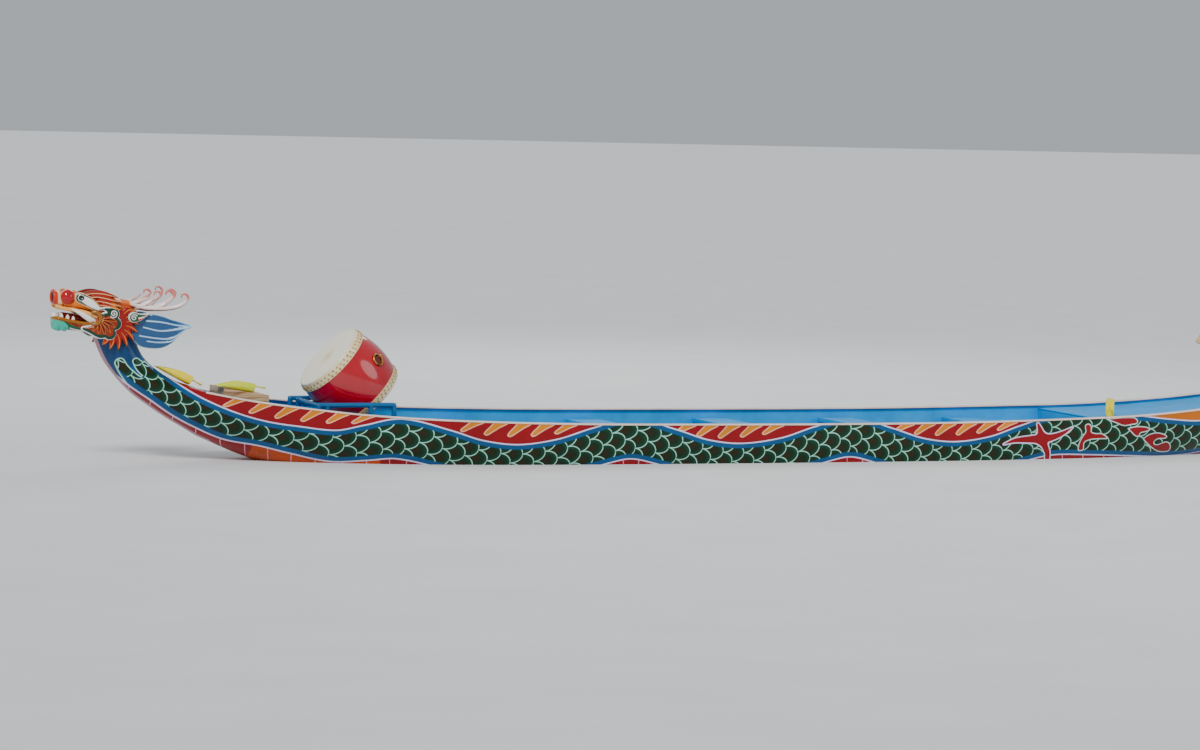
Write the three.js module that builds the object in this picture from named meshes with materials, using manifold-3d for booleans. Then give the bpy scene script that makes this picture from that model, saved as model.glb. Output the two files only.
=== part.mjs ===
// Painted racing dragon boat for ten paddlers, in millimetres.
// +X runs to the stern, +Z is up, port is -Y. The origin lies on the centreline,
// amidships, at the waterline.
import * as THREE from "three";
import { mergeVertices } from "three/addons/utils/BufferGeometryUtils.js";
import Module from "manifold-3d";

const wasm = await Module();
wasm.setup();

// Driving dimensions
const GAP = 0.3; // joint line between two seated pieces
const WALL = 12; // hull laminate with its core
const HULL_STEPS = 22; // lofted lengths of the hull
const RING_STEPS = 7; // facets from keel to gunwale
const BENCH_PITCH = 850;
const BENCHES = 5;
const BENCH_TOP = 180;
const FLOOR_TOP = -135;
const RAIL_TOP = 10; // thickness of the gunwale cap
const DRUM_TILT = 42.5; // drum axis above the horizontal, skin towards the bow
const OAR_SLOPE = 30; // steering oar shaft below the horizontal, going aft
const HALF_TURN = Math.PI;
const OUTSIDE = 700; // a half width beyond the hull, for pieces trimmed to its inside
const BELOW = -300; // a height under the keel, likewise
const LAP = 5; // how far two forms joined into one piece run into each other
const deg = (angle) => (angle * Math.PI) / 180;

// Columns: place along the boat, half beam at the gunwale, gunwale height, keel height, fullness.
const STATIONS = [
  [-3450, 185, 400, 140, 1.8],
  [-3200, 262, 356, 35, 1.85],
  [-2900, 352, 318, -65, 1.95],
  [-2500, 440, 280, -145, 2.1],
  [-2000, 515, 254, -192, 2.4],
  [-1300, 560, 236, -214, 2.7],
  [-400, 578, 229, -222, 2.8],
  [500, 578, 227, -222, 2.8],
  [1300, 562, 231, -214, 2.7],
  [2000, 520, 244, -188, 2.4],
  [2500, 470, 258, -148, 2.2],
  [3000, 395, 293, -80, 2.0],
  [3400, 305, 341, 10, 1.9],
  [3750, 205, 406, 135, 1.8],
];
const BOW = STATIONS[0][0];
const STERN = STATIONS[STATIONS.length - 1][0];

const paint = {
  hull: { color: 0x14502f, roughness: 0.3, metalness: 0 },
  gunwale: { color: 0xe6d3c6, roughness: 0.35, metalness: 0 },
  stand: { color: 0x1f6f9e, roughness: 0.35, metalness: 0 },
  inside: { color: 0x22a8dc, roughness: 0.4, metalness: 0 },
  wood: { color: 0xb98a55, roughness: 0.6, metalness: 0 },
  neck: { color: 0x2f5f86, roughness: 0.35, metalness: 0 },
  orange: { color: 0xc85a1a, roughness: 0.4, metalness: 0 },
  red: { color: 0xb0121f, roughness: 0.3, metalness: 0 },
  jaw: { color: 0x2f7a58, roughness: 0.4, metalness: 0 },
  ivory: { color: 0xf4efe2, roughness: 0.4, metalness: 0 },
  horn: { color: 0xf0d8d0, roughness: 0.4, metalness: 0 },
  fin: { color: 0x3c6a96, roughness: 0.4, metalness: 0 },
  steel: { color: 0x9aa0a4, roughness: 0.35, metalness: 0.9 },
  yellow: { color: 0xf2dc10, roughness: 0.45, metalness: 0 },
  skin: { color: 0xf5efdc, roughness: 0.6, metalness: 0 },
};

const boat = new THREE.Group();

function add(name, geometry, finish) {
  const mesh = new THREE.Mesh(geometry, new THREE.MeshStandardMaterial(finish));
  mesh.name = name;
  boat.add(mesh);
  return mesh;
}

// Solids
function toSolid(geometry) {
  const bare = new THREE.BufferGeometry();
  bare.setAttribute("position", geometry.getAttribute("position"));
  if (geometry.index) bare.setIndex(geometry.index);
  const merged = mergeVertices(bare, 1e-3);
  return new wasm.Manifold(
    new wasm.Mesh({
      numProp: 3,
      vertProperties: merged.attributes.position.array,
      triVerts: new Uint32Array(merged.index.array),
    }),
  );
}

function toGeometry(solid) {
  const mesh = solid.getMesh();
  const geometry = new THREE.BufferGeometry();
  const positions = new Float32Array(mesh.vertProperties);
  geometry.setAttribute("position", new THREE.BufferAttribute(positions, 3));
  geometry.setIndex(new THREE.BufferAttribute(new Uint32Array(mesh.triVerts), 1));
  geometry.computeVertexNormals();
  return geometry;
}

const join = (...parts) => toGeometry(parts.map(toSolid).reduce((a, b) => a.add(b)));
const cut = (body, ...tools) =>
  toGeometry(tools.map(toSolid).reduce((a, b) => a.subtract(b), toSolid(body)));
// Copies of a piece moved by the joint line each way: cutting by them leaves that gap round it.
const room = (piece) =>
  [-GAP, 0, GAP].flatMap((x) =>
    [-GAP, 0, GAP].flatMap((y) => [-GAP, 0, GAP].map((z) => piece.clone().translate(x, y, z))),
  );
const keepInside = (body, space) => toGeometry(toSolid(body).intersect(toSolid(space)));

function volumeOf(positions, index) {
  const [a, b, c] = [new THREE.Vector3(), new THREE.Vector3(), new THREE.Vector3()];
  let volume = 0;
  for (let i = 0; i < index.length; i += 3) {
    a.fromArray(positions, 3 * index[i]);
    b.fromArray(positions, 3 * index[i + 1]);
    c.fromArray(positions, 3 * index[i + 2]);
    volume += a.dot(b.cross(c)) / 6;
  }
  return volume;
}

// The triangles that fill a flat ring, wound the same way as the ring.
function fillRing(ring) {
  const [u, v] = [new THREE.Vector3(), new THREE.Vector3()];
  const normal = new THREE.Vector3();
  ring.forEach((p, i) => normal.add(v.crossVectors(p, ring[(i + 1) % ring.length])));
  u.subVectors(ring[1], ring[0]).normalize();
  v.crossVectors(normal.normalize(), u);
  const contour = ring.map((p) => new THREE.Vector2(p.dot(u), p.dot(v)));
  return THREE.ShapeUtils.triangulateShape(contour, []).map(([a, b, c]) => {
    const area = THREE.ShapeUtils.area([contour[a], contour[b], contour[c]]);
    return area > 0 ? [a, b, c] : [a, c, b];
  });
}

// A closed body through flat rings of equal point counts.
function loft(rings) {
  const count = rings[0].length;
  const positions = [];
  const index = [];
  for (const ring of rings) for (const p of ring) positions.push(p.x, p.y, p.z);
  for (let r = 0; r + 1 < rings.length; r++) {
    for (let i = 0; i < count; i++) {
      const j = (i + 1) % count;
      const [a, b] = [r * count + i, r * count + j];
      const [c, d] = [a + count, b + count];
      // The two sides of the centreline are split by mirrored diagonals.
      if (rings[r][i].y + rings[r][j].y > 0) index.push(a, b, d, a, d, c);
      else index.push(a, b, c, b, d, c);
    }
  }
  const last = (rings.length - 1) * count;
  for (const [i, j, k] of fillRing(rings[0])) index.push(i, k, j);
  for (const [i, j, k] of fillRing(rings[rings.length - 1])) index.push(last + i, last + j, last + k);
  if (volumeOf(positions, index) < 0) {
    for (let i = 0; i < index.length; i += 3) {
      [index[i + 1], index[i + 2]] = [index[i + 2], index[i + 1]];
    }
  }
  const geometry = new THREE.BufferGeometry();
  geometry.setAttribute("position", new THREE.Float32BufferAttribute(positions, 3));
  geometry.setIndex(index);
  geometry.computeVertexNormals();
  return geometry;
}

// An oval ring between two points of the centre plane; the belt is how far up it is widest.
function bodyRing(low, high, halfWidth, belt, squareLow, squareHigh, sides) {
  const ring = [];
  for (let i = 0; i < sides; i++) {
    const turn = (2 * HALF_TURN * i) / sides;
    const [c, s] = [Math.cos(turn), Math.sin(turn)];
    const square = s < 0 ? squareLow : squareHigh;
    const y = Math.sign(c) * Math.abs(c) ** (2 / square) * halfWidth;
    const rise = Math.abs(s) ** (2 / square);
    const place = s < 0 ? belt * (1 - rise) : belt + (1 - belt) * rise;
    ring.push(low.clone().lerp(high, place).setY(y));
  }
  return ring;
}

// A round bar along a smooth curve; columns of the table: x, y, z, radius.
function bar(table, steps, sides) {
  const curve = new THREE.CatmullRomCurve3(
    table.map(([x, y, z]) => new THREE.Vector3(x, y, z)),
    false,
    "centripetal",
  );
  const rings = [];
  const side = new THREE.Vector3(0, 1, 0);
  if (Math.abs(curve.getTangent(0).y) > 0.9) side.set(1, 0, 0);
  for (let s = 0; s <= steps; s++) {
    const t = s / steps;
    const centre = curve.getPoint(t);
    const along = curve.getTangent(t);
    side.addScaledVector(along, -side.dot(along)).normalize();
    const up = new THREE.Vector3().crossVectors(side, along);
    const place = t * (table.length - 1);
    const k = Math.min(Math.floor(place), table.length - 2);
    const radius = THREE.MathUtils.lerp(table[k][3], table[k + 1][3], place - k);
    const ring = [];
    for (let i = 0; i < sides; i++) {
      const turn = (2 * HALF_TURN * i) / sides;
      const p = centre.clone();
      p.addScaledVector(side, Math.cos(turn) * radius);
      ring.push(p.addScaledVector(up, Math.sin(turn) * radius));
    }
    rings.push(ring);
  }
  return loft(rings);
}

const straightBar = (from, to, radius, sides = 10) =>
  bar([[...from, radius], [...to, radius]], 1, sides);

// A box between two corners.
function block(low, high) {
  const size = high.map((value, i) => value - low[i]);
  const geometry = new THREE.BoxGeometry(...size);
  return geometry.translate(...low.map((value, i) => value + size[i] / 2));
}

// A flat plate: an outline in X and Z, standing upright from y to y + thickness.
function uprightPlate(outline, y, thickness, curveSegments = 4) {
  const plate = new THREE.ExtrudeGeometry(outline, {
    depth: thickness,
    bevelEnabled: false,
    curveSegments,
  });
  return plate.rotateX(HALF_TURN / 2).translate(0, y + thickness, 0);
}

const polygon = (points) => new THREE.Shape(points.map(([x, z]) => new THREE.Vector2(x, z)));

// The same piece on the other side of the centreline.
function mirrored(geometry) {
  const other = toGeometry(toSolid(geometry));
  const position = other.getAttribute("position");
  for (let i = 0; i < position.count; i++) position.setY(i, -position.getY(i));
  const index = other.index;
  for (let i = 0; i < index.count; i += 3) {
    const [b, c] = [index.getX(i + 1), index.getX(i + 2)];
    index.setX(i + 1, c);
    index.setX(i + 2, b);
  }
  other.computeVertexNormals();
  return other;
}

// Hull: every column of the station table follows one smooth curve along the boat.
function stationAt(x) {
  let k = 0;
  while (k < STATIONS.length - 2 && x > STATIONS[k + 1][0]) k++;
  const slope = (i, column) => {
    const [before, after] = [Math.max(i - 1, 0), Math.min(i + 1, STATIONS.length - 1)];
    const run = STATIONS[after][0] - STATIONS[before][0];
    return (STATIONS[after][column] - STATIONS[before][column]) / run;
  };
  const run = STATIONS[k + 1][0] - STATIONS[k][0];
  const t = THREE.MathUtils.clamp((x - STATIONS[k][0]) / run, 0, 1);
  const value = (column) =>
    (2 * t ** 3 - 3 * t ** 2 + 1) * STATIONS[k][column] +
    (t ** 3 - 2 * t ** 2 + t) * run * slope(k, column) +
    (3 * t ** 2 - 2 * t ** 3) * STATIONS[k + 1][column] +
    (t ** 3 - t ** 2) * run * slope(k + 1, column);
  return { halfBeam: value(1), sheer: value(2), keel: value(3), fullness: value(4) };
}

// The hull's form, drawn in by an inset; above the gunwale it goes straight up by headroom.
function hullForm(inset, headroom, from, to) {
  const rings = [];
  for (let s = 0; s <= HULL_STEPS; s++) {
    const x = from + ((to - from) * s) / HULL_STEPS;
    const { halfBeam, sheer, keel, fullness } = stationAt(x);
    const [halfWidth, bottom] = [halfBeam - inset, keel + inset];
    const half = [];
    for (let i = 0; i <= RING_STEPS; i++) {
      const turn = (HALF_TURN / 2) * (i / RING_STEPS);
      const y = halfWidth * Math.sin(turn) ** (2 / fullness);
      const drop = (sheer - bottom) * Math.abs(Math.cos(turn)) ** (2 / fullness);
      half.push([y, i === RING_STEPS ? sheer : sheer - drop]);
    }
    if (headroom > 0) half.push([halfWidth, sheer + headroom]);
    const port = half.slice(1).map(([y, z]) => new THREE.Vector3(x, -y, z)).reverse();
    rings.push([...port, ...half.map(([y, z]) => new THREE.Vector3(x, y, z))]);
  }
  return loft(rings);
}

const HEADROOM = 60;
const hollow = hullForm(WALL, HEADROOM, BOW + WALL, STERN - WALL);
const interior = hullForm(WALL + GAP, HEADROOM, BOW + WALL + GAP, STERN - WALL - GAP);
add("hull_shell", cut(hullForm(0, 0, BOW, STERN), hollow), paint.hull);

// Gunwale caps: a thin flat strip on the shell's edge, rounded on its outer side
const RAIL_IN = 30;
const RAIL_OUT = 6;
const RAIL_EDGE = 3;
const RAIL_FADE = 450; // length over which the overhang shrinks towards each end
const RAIL_END = 2;
function gunwale(side) {
  const rings = [];
  for (let s = 0; s <= HULL_STEPS; s++) {
    const x = BOW + ((STERN - BOW) * s) / HULL_STEPS;
    const { halfBeam, sheer } = stationAt(x);
    const full = Math.min((x - BOW) / RAIL_FADE, (STERN - x) / RAIL_FADE, 1);
    const out = THREE.MathUtils.lerp(RAIL_END, RAIL_OUT, full);
    const section = [
      [-RAIL_IN, GAP],
      [-RAIL_IN, RAIL_TOP - RAIL_EDGE],
      [-RAIL_IN + RAIL_EDGE, RAIL_TOP],
      [out - RAIL_EDGE, RAIL_TOP],
      [out, RAIL_TOP - RAIL_EDGE],
      [out, GAP],
    ];
    rings.push(section.map(([y, z]) => new THREE.Vector3(x, side * (halfBeam + y), sheer + z)));
  }
  return loft(rings);
}
const railPort = gunwale(-1);
add("gunwale_port", railPort, paint.gunwale);
add("gunwale_starboard", gunwale(1), paint.gunwale);

// Decks and bulkheads
const DECK_DROP = 14; // deck surface below the gunwale
const DECK_THICK = 12;
const FORE_DECK_END = -3010;
const AFTER_DECK_START = 2270;
const BULKHEAD = 14;
function deck(from, to, drop) {
  const rings = [];
  const steps = 5;
  for (let s = 0; s <= steps; s++) {
    const x = from + ((to - from) * s) / steps;
    const { halfBeam, sheer } = stationAt(x);
    const [top, reach] = [sheer - drop, halfBeam + WALL];
    rings.push([
      new THREE.Vector3(x, -reach, top - DECK_THICK),
      new THREE.Vector3(x, -reach, top),
      new THREE.Vector3(x, reach, top),
      new THREE.Vector3(x, reach, top - DECK_THICK),
    ]);
  }
  return keepInside(loft(rings), interior);
}
const foredeck = deck(BOW, FORE_DECK_END, DECK_DROP);
const afterdeck = deck(AFTER_DECK_START, STERN, DECK_DROP);
add("foredeck", foredeck, paint.inside);
add("afterdeck", afterdeck, paint.inside);

function bulkhead(from, drop) {
  const to = from + BULKHEAD;
  const top = Math.min(stationAt(from).sheer, stationAt(to).sheer) - drop;
  const sheet = block([from, -OUTSIDE, BELOW], [to, OUTSIDE, top - DECK_THICK - GAP]);
  return keepInside(sheet, interior);
}
const DECK_SLOPE_CLEAR = 0.8;
add("fore_bulkhead", bulkhead(FORE_DECK_END - BULKHEAD, DECK_DROP + DECK_SLOPE_CLEAR), paint.inside);
add("aft_bulkhead", bulkhead(AFTER_DECK_START, DECK_DROP + DECK_SLOPE_CLEAR), paint.inside);

// Floor: boards on frames that follow the hull, with one foot brace ahead of each bench
const FLOOR_THICK = 14;
const FLOOR_HALF = 330;
const FLOOR_FROM = -2860;
const FLOOR_TO = AFTER_DECK_START - 1;
const BRACE_AHEAD = 520;
const BRACE = { half: 22, high: 60 };
const FRAME_HALF = 18;
const benchPlace = (i) => (i - (BENCHES - 1) / 2) * BENCH_PITCH;
const floorPieces = [
  block([FLOOR_FROM, -FLOOR_HALF, FLOOR_TOP - FLOOR_THICK], [FLOOR_TO, FLOOR_HALF, FLOOR_TOP]),
];
for (let i = 0; i < BENCHES; i++) {
  const x = benchPlace(i);
  const brace = x - BRACE_AHEAD;
  floorPieces.push(
    block([x - FRAME_HALF, -FLOOR_HALF, BELOW], [x + FRAME_HALF, FLOOR_HALF, FLOOR_TOP - LAP]),
    block(
      [brace - BRACE.half, -FLOOR_HALF, FLOOR_TOP - LAP],
      [brace + BRACE.half, FLOOR_HALF, FLOOR_TOP + BRACE.high],
    ),
  );
}
add("floorboards", keepInside(join(...floorPieces), interior), paint.wood);

// Platform for the drum and the drummer's feet, above the rising keel
const PLATFORM = { from: FORE_DECK_END + GAP, to: -2290, top: 88, thick: 12 };
// Columns: where each cross frame under the platform starts, ends and stands.
const PLATFORM_FRAMES = [
  [-2890, -2862, BELOW],
  [-2560, -2530, FLOOR_TOP + GAP],
];
const platform = join(
  block(
    [PLATFORM.from, -OUTSIDE, PLATFORM.top - PLATFORM.thick],
    [PLATFORM.to, OUTSIDE, PLATFORM.top],
  ),
  ...PLATFORM_FRAMES.map(([from, to, foot]) =>
    block([from, -OUTSIDE, foot], [to, OUTSIDE, PLATFORM.top - LAP]),
  ),
);
add("drum_platform", keepInside(platform, interior), paint.inside);

// Benches: a plank between the sides on two end cleats and a centre post
const BENCH_DEPTH = 210;
const BENCH_THICK = 28;
const BENCH_CLEAR = 4; // from the plank's end to the gunwale cap
const CLEAT = { half: 30, inner: 430, high: 60 };
const POST_HALF = 35;
for (let i = 0; i < BENCHES; i++) {
  const x = benchPlace(i);
  const [from, to] = [x - BENCH_DEPTH / 2, x + BENCH_DEPTH / 2];
  const under = BENCH_TOP - BENCH_THICK;
  // The plank stops short of the gunwale caps, so that they don't overhang it.
  const half = Math.min(stationAt(from).halfBeam, stationAt(to).halfBeam) - RAIL_IN - BENCH_CLEAR;
  const cleat = [CLEAT.half, CLEAT.inner, under - CLEAT.high];
  const bench = join(
    block([from, -half, under], [to, half, BENCH_TOP]),
    block([x - cleat[0], -OUTSIDE, cleat[2]], [x + cleat[0], -cleat[1], under + LAP]),
    block([x - cleat[0], cleat[1], cleat[2]], [x + cleat[0], OUTSIDE, under + LAP]),
    block([x - POST_HALF, -POST_HALF, FLOOR_TOP + GAP], [x + POST_HALF, POST_HALF, under + LAP]),
  );
  add("bench_" + (i + 1), keepInside(bench, interior), paint.inside);
}

// Drummer's seat on the foredeck
const SEAT_FROM = -3330;
const SEAT_TO = -3060;
const SEAT_HALF = 150;
const SEAT_HIGH = 62;
const seatDeck = (x, z) => stationAt(x).sheer - DECK_DROP + z;
function drummerSeat() {
  const lift = -4;
  const rings = [SEAT_FROM, SEAT_TO].map((x) => [
    new THREE.Vector3(x, -SEAT_HALF, seatDeck(x, lift)),
    new THREE.Vector3(x, -SEAT_HALF, seatDeck(x, SEAT_HIGH)),
    new THREE.Vector3(x, SEAT_HALF, seatDeck(x, SEAT_HIGH)),
    new THREE.Vector3(x, SEAT_HALF, seatDeck(x, lift)),
  ]);
  return cut(loft(rings), foredeck, foredeck.clone().translate(0, 0, GAP));
}
const seat = drummerSeat();
add("drummer_seat", seat, paint.wood);

// Drum: a barrel with a skin lapped over each end
const DRUM = { x: -2528, z: 475, length: 350, bulge: 250, end: 218, wall: 18 };
const SKIN_LAP = 42;
const SKIN_THICK = 4;
const SKIN_STEPS = 24;
const axisAlong = new THREE.Vector3(-Math.cos(deg(DRUM_TILT)), 0, Math.sin(deg(DRUM_TILT)));
const axisDown = new THREE.Vector3(-Math.sin(deg(DRUM_TILT)), 0, -Math.cos(deg(DRUM_TILT)));
const drumCentre = new THREE.Vector3(DRUM.x, 0, DRUM.z);
// Places on the drum: along its axis towards the upper skin, down across it, and to starboard.
const onDrum = (along, down, y) =>
  drumCentre.clone().addScaledVector(axisAlong, along).addScaledVector(axisDown, down).setY(y);
const placeOnDrum = (geometry) =>
  geometry
    .rotateZ(-HALF_TURN / 2)
    .rotateY(deg(DRUM_TILT) + HALF_TURN)
    .translate(DRUM.x, 0, DRUM.z);
const barrelRadius = (along) =>
  DRUM.end + (DRUM.bulge - DRUM.end) * (1 - (along / (DRUM.length / 2)) ** 2);

function barrel(grow = 0) {
  const outside = [];
  const steps = 6;
  for (let s = 0; s <= steps; s++) {
    const along = (s / steps - 0.5) * DRUM.length;
    outside.push(new THREE.Vector2(barrelRadius(along) + grow, along));
  }
  const inside = [...outside].reverse().map((p) => new THREE.Vector2(p.x - DRUM.wall, p.y));
  const profile = [...outside, ...inside, outside[0].clone()];
  return placeOnDrum(new THREE.LatheGeometry(profile, SKIN_STEPS));
}
add("drum_barrel", barrel(), paint.red);

function drumSkin(end) {
  const edge = DRUM.length / 2;
  const lapRadius = barrelRadius(edge - SKIN_LAP) + GAP + 0.6;
  const inner = DRUM.end + GAP + 0.6;
  const points = [
    [0, edge + GAP],
    [inner, edge + GAP],
    [lapRadius, edge - SKIN_LAP],
    [lapRadius + SKIN_THICK, edge - SKIN_LAP],
    [inner + SKIN_THICK, edge + GAP],
    [DRUM.end - 2, edge + GAP + SKIN_THICK + 4],
    [0, edge + GAP + SKIN_THICK + 4],
  ];
  const profile = points.map(([r, along]) => new THREE.Vector2(r, along * end));
  if (end < 0) profile.reverse();
  return placeOnDrum(new THREE.LatheGeometry(profile, SKIN_STEPS));
}
add("drum_skin_upper", drumSkin(1), paint.skin);
add("drum_skin_lower", drumSkin(-1), paint.skin);

// Drum ring handles, at mid length and high on each side
const RING_HANDLE = { radius: 34, wire: 4.5, angle: 39, stand: 7 };
function drumRing() {
  const lift = DRUM.bulge + RING_HANDLE.stand;
  const ring = new THREE.TorusGeometry(RING_HANDLE.radius, RING_HANDLE.wire, 6, 20);
  const stud = new THREE.CylinderGeometry(11, 11, 2 * RING_HANDLE.stand + 6, 10);
  stud.rotateX(HALF_TURN / 2);
  stud.translate(0, RING_HANDLE.radius, -RING_HANDLE.stand + 3);
  const both = join(ring, stud);
  // Local +Z becomes the outward normal of the barrel; local +Y runs down the barrel's flank.
  const outward = new THREE.Vector3(0, -Math.cos(deg(RING_HANDLE.angle)), 0);
  outward.addScaledVector(axisDown, -Math.sin(deg(RING_HANDLE.angle)));
  const flank = new THREE.Vector3().crossVectors(outward, axisAlong);
  const basis = new THREE.Matrix4().makeBasis(axisAlong.clone(), flank.negate(), outward);
  if (basis.determinant() < 0) basis.makeBasis(axisAlong.clone().negate(), flank, outward);
  both.applyMatrix4(basis);
  const place = drumCentre.clone().addScaledVector(outward, lift);
  return cut(both.translate(place.x, place.y, place.z), barrel(GAP));
}
const ringPort = drumRing();
add("drum_ring_port", ringPort, paint.steel);
add("drum_ring_starboard", mirrored(ringPort), paint.steel);

// Drum stand: two blue tube frames with cross tubes under the barrel
const TUBE = 15;
const STAND = { fore: -2800, aft: -2340, low: PLATFORM.top + TUBE * 1.02 + GAP, high: 335, half: 272 };
function drumStand() {
  const rest = onDrum(60, barrelRadius(60) + TUBE + 0.2, 0);
  const stop = onDrum(-(DRUM.length / 2 + GAP + SKIN_THICK + 4 + TUBE + 0.3), 150, 0);
  const tubes = [];
  for (const y of [-STAND.half, STAND.half]) {
    const corners = [
      [STAND.fore, y, STAND.low],
      [STAND.fore, y, STAND.high],
      [STAND.aft, y, STAND.high],
      [STAND.aft, y, STAND.low],
    ];
    corners.forEach((corner, i) => {
      tubes.push(straightBar(corner, corners[(i + 1) % corners.length], TUBE, 8));
      tubes.push(new THREE.SphereGeometry(TUBE * 1.02, 8, 5).translate(...corner));
    });
    tubes.push(straightBar([stop.x, y, STAND.low], [stop.x, y, STAND.high], TUBE * 0.96, 8));
    tubes.push(straightBar([rest.x, y, STAND.low], [rest.x, y, STAND.high], TUBE * 0.96, 8));
  }
  const cross = [
    [STAND.fore, STAND.low],
    [STAND.aft, STAND.low],
    [rest.x, rest.z],
    [stop.x, stop.z],
  ];
  for (const [x, z] of cross) {
    tubes.push(straightBar([x, -STAND.half, z], [x, STAND.half, z], TUBE * 0.98, 8));
  }
  return join(...tubes);
}
add("drum_stand", drumStand(), paint.stand);

// Neck: columns are belly x and z, back x and z, half width, belt and top squareness
const NECK = [
  [BOW - GAP, 140, BOW - GAP, 410, 188, 0.93, 5],
  [-3545, 195, -3515, 436, 168, 0.84, 4],
  [-3644, 252, -3598, 464, 149, 0.74, 3.2],
  [-3745, 318, -3672, 504, 134, 0.64, 2.7],
  [-3848, 392, -3735, 552, 119, 0.56, 2.4],
  [-3945, 492, -3785, 605, 108, 0.5, 2.4],
  [-4018, 590, -3812, 655, 102, 0.5, 2.4],
  [-4078, 722, -3842, 722, 100, 0.5, 2.4],
];
const NECK_SIDES = 16;
const KEEL_SQUARE = 2;
function neck(table, grow) {
  const rings = table.map(([bellyX, bellyZ, backX, backZ, halfWidth, belt, squareHigh]) => {
    const belly = new THREE.Vector3(bellyX, 0, bellyZ);
    const back = new THREE.Vector3(backX, 0, backZ);
    const outward = back.clone().sub(belly).setLength(grow);
    belly.sub(outward);
    back.add(outward);
    return bodyRing(belly, back, halfWidth + grow, belt, KEEL_SQUARE, squareHigh, NECK_SIDES);
  });
  return loft(rings);
}
add("neck", neck(NECK, 0), paint.neck);

// Head: upper part from snout to nape; columns are x, underside, top, half width
const SKULL = [
  [-4318, 897, 981, 56],
  [-4292, 888, 975, 66],
  [-4262, 880, 950, 58],
  [-4215, 872, 938, 62],
  [-4180, 868, 955, 78],
  [-4120, 852, 968, 98],
  [-4070, 822, 964, 110],
  [-3990, 722.4, 950, 120],
  [-3905, 722.4, 925, 120],
  [-3845, 722.4, 880, 104],
  [-3820, 745, 850, 84],
];
const JAW = [
  [-4320, 796, 826, 38],
  [-4288, 756, 828, 52],
  [-4230, 748, 812, 62],
  [-4160, 741, 799, 76],
  [-4100, 734, 796, 90],
  [-4040, 727, 800, 100],
  [-3975, 724, 800, 104],
];
const HEAD_SIDES = 16;
const HEAD_SQUARE = 2.5;
function headForm(table, grow) {
  const last = table.length - 1;
  const rings = table.map(([x, low, high, halfWidth], i) => {
    const place = x + (i === 0 ? -grow : i === last ? grow : 0);
    const bottom = new THREE.Vector3(place, 0, low - grow);
    const top = new THREE.Vector3(place, 0, high + grow);
    return bodyRing(bottom, top, halfWidth + grow, 0.5, HEAD_SQUARE, HEAD_SQUARE, HEAD_SIDES);
  });
  return loft(rings);
}
const skull = headForm(SKULL, 0);
const skullRoom = headForm(SKULL, GAP + 0.3);
const jawRoomless = cut(headForm(JAW, 0), skullRoom);
add("head_upper", skull, paint.orange);
add("head_jaw", jawRoomless, paint.jaw);
const jawRoom = headForm(JAW, GAP + 0.3);
const neckRoom = neck(NECK, GAP + 0.3);

// Nose: two round nostril bulbs on the snout, made as one piece
function ellipsoid(place, radii, tilt = 0, wide = 12, high = 8) {
  const ball = new THREE.SphereGeometry(1, wide, high);
  return ball.scale(...radii).rotateY(tilt).translate(...place);
}
const noseBulbs = join(
  ellipsoid([-4238, -46, 940], [46, 44, 49], 0, 12, 6),
  ellipsoid([-4238, 46, 940], [46, 44, 49], 0, 12, 6),
  ellipsoid([-4238, 0, 948], [38, 30, 34], 0, 10, 6),
);
add("nose_bulbs", cut(noseBulbs, skullRoom), paint.red);

// Eyes: long drops that slope down towards the cheek
const EYE = { place: [-4128, -88, 913], radii: [80, 34, 27], slope: 33 };
const eyeForm = ellipsoid(EYE.place, EYE.radii, deg(EYE.slope));
const eye = cut(eyeForm, skullRoom);
add("eye_port", eye, paint.ivory);
add("eye_starboard", mirrored(eye), paint.ivory);

// Brow: a raised lock of hair over each eye, running back to the crown
const BROW = [
  [-4168, -62, 966, 9],
  [-4110, -74, 972, 20],
  [-4040, -76, 966, 26],
  [-3960, -74, 956, 24],
  [-3885, -66, 935, 12],
];
const brow = cut(bar(BROW, 8, 8), skullRoom, ...room(eyeForm));
add("brow_port", brow, paint.orange);
add("brow_starboard", mirrored(brow), paint.orange);

// Mouth: tongue, lower teeth and two tusks, seated on the jaw
const TONGUE = [
  [-4085, 0, 800, 22],
  [-4150, 0, 812, 24],
  [-4215, 0, 826, 22],
  [-4262, 0, 846, 10],
];
const tongue = cut(bar(TONGUE, 6, 8).scale(1, 1.5, 1), jawRoom, skullRoom);
add("tongue", tongue, paint.red);

// Columns: x, half distance between the two teeth, gum height, tip height, radius
const LOWER_TEETH = [
  [-4304, 18, 815, 848, 10],
  [-4270, 40, 812, 846, 11],
  [-4236, 48, 806, 838, 11],
  [-4204, 54, 800, 830, 10],
];
function lowerTeeth() {
  const pieces = LOWER_TEETH.map(([x, y, gum, tip, radius]) =>
    bar([[x, -y, gum, radius], [x, -y, tip - 12, radius * 0.9], [x, -y, tip, 3]], 2, 6),
  );
  const gums = LOWER_TEETH.map(([x, y, gum]) => [x, -y, gum + 8, 10]);
  return cut(join(bar(gums, 3, 5), ...pieces), jawRoom);
}
const teeth = lowerTeeth();
add("lower_teeth_port", teeth, paint.ivory);
add("lower_teeth_starboard", mirrored(teeth), paint.ivory);

const TUSK = [
  [-4092, -78, 790, 19],
  [-4128, -82, 822, 17],
  [-4170, -80, 850, 12],
  [-4213, -74, 874, 3],
];
const tuskForm = bar(TUSK, 6, 8);
const tusk = cut(tuskForm, jawRoom, skullRoom);
add("tusk_port", tusk, paint.ivory);
add("tusk_starboard", mirrored(tusk), paint.ivory);

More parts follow.
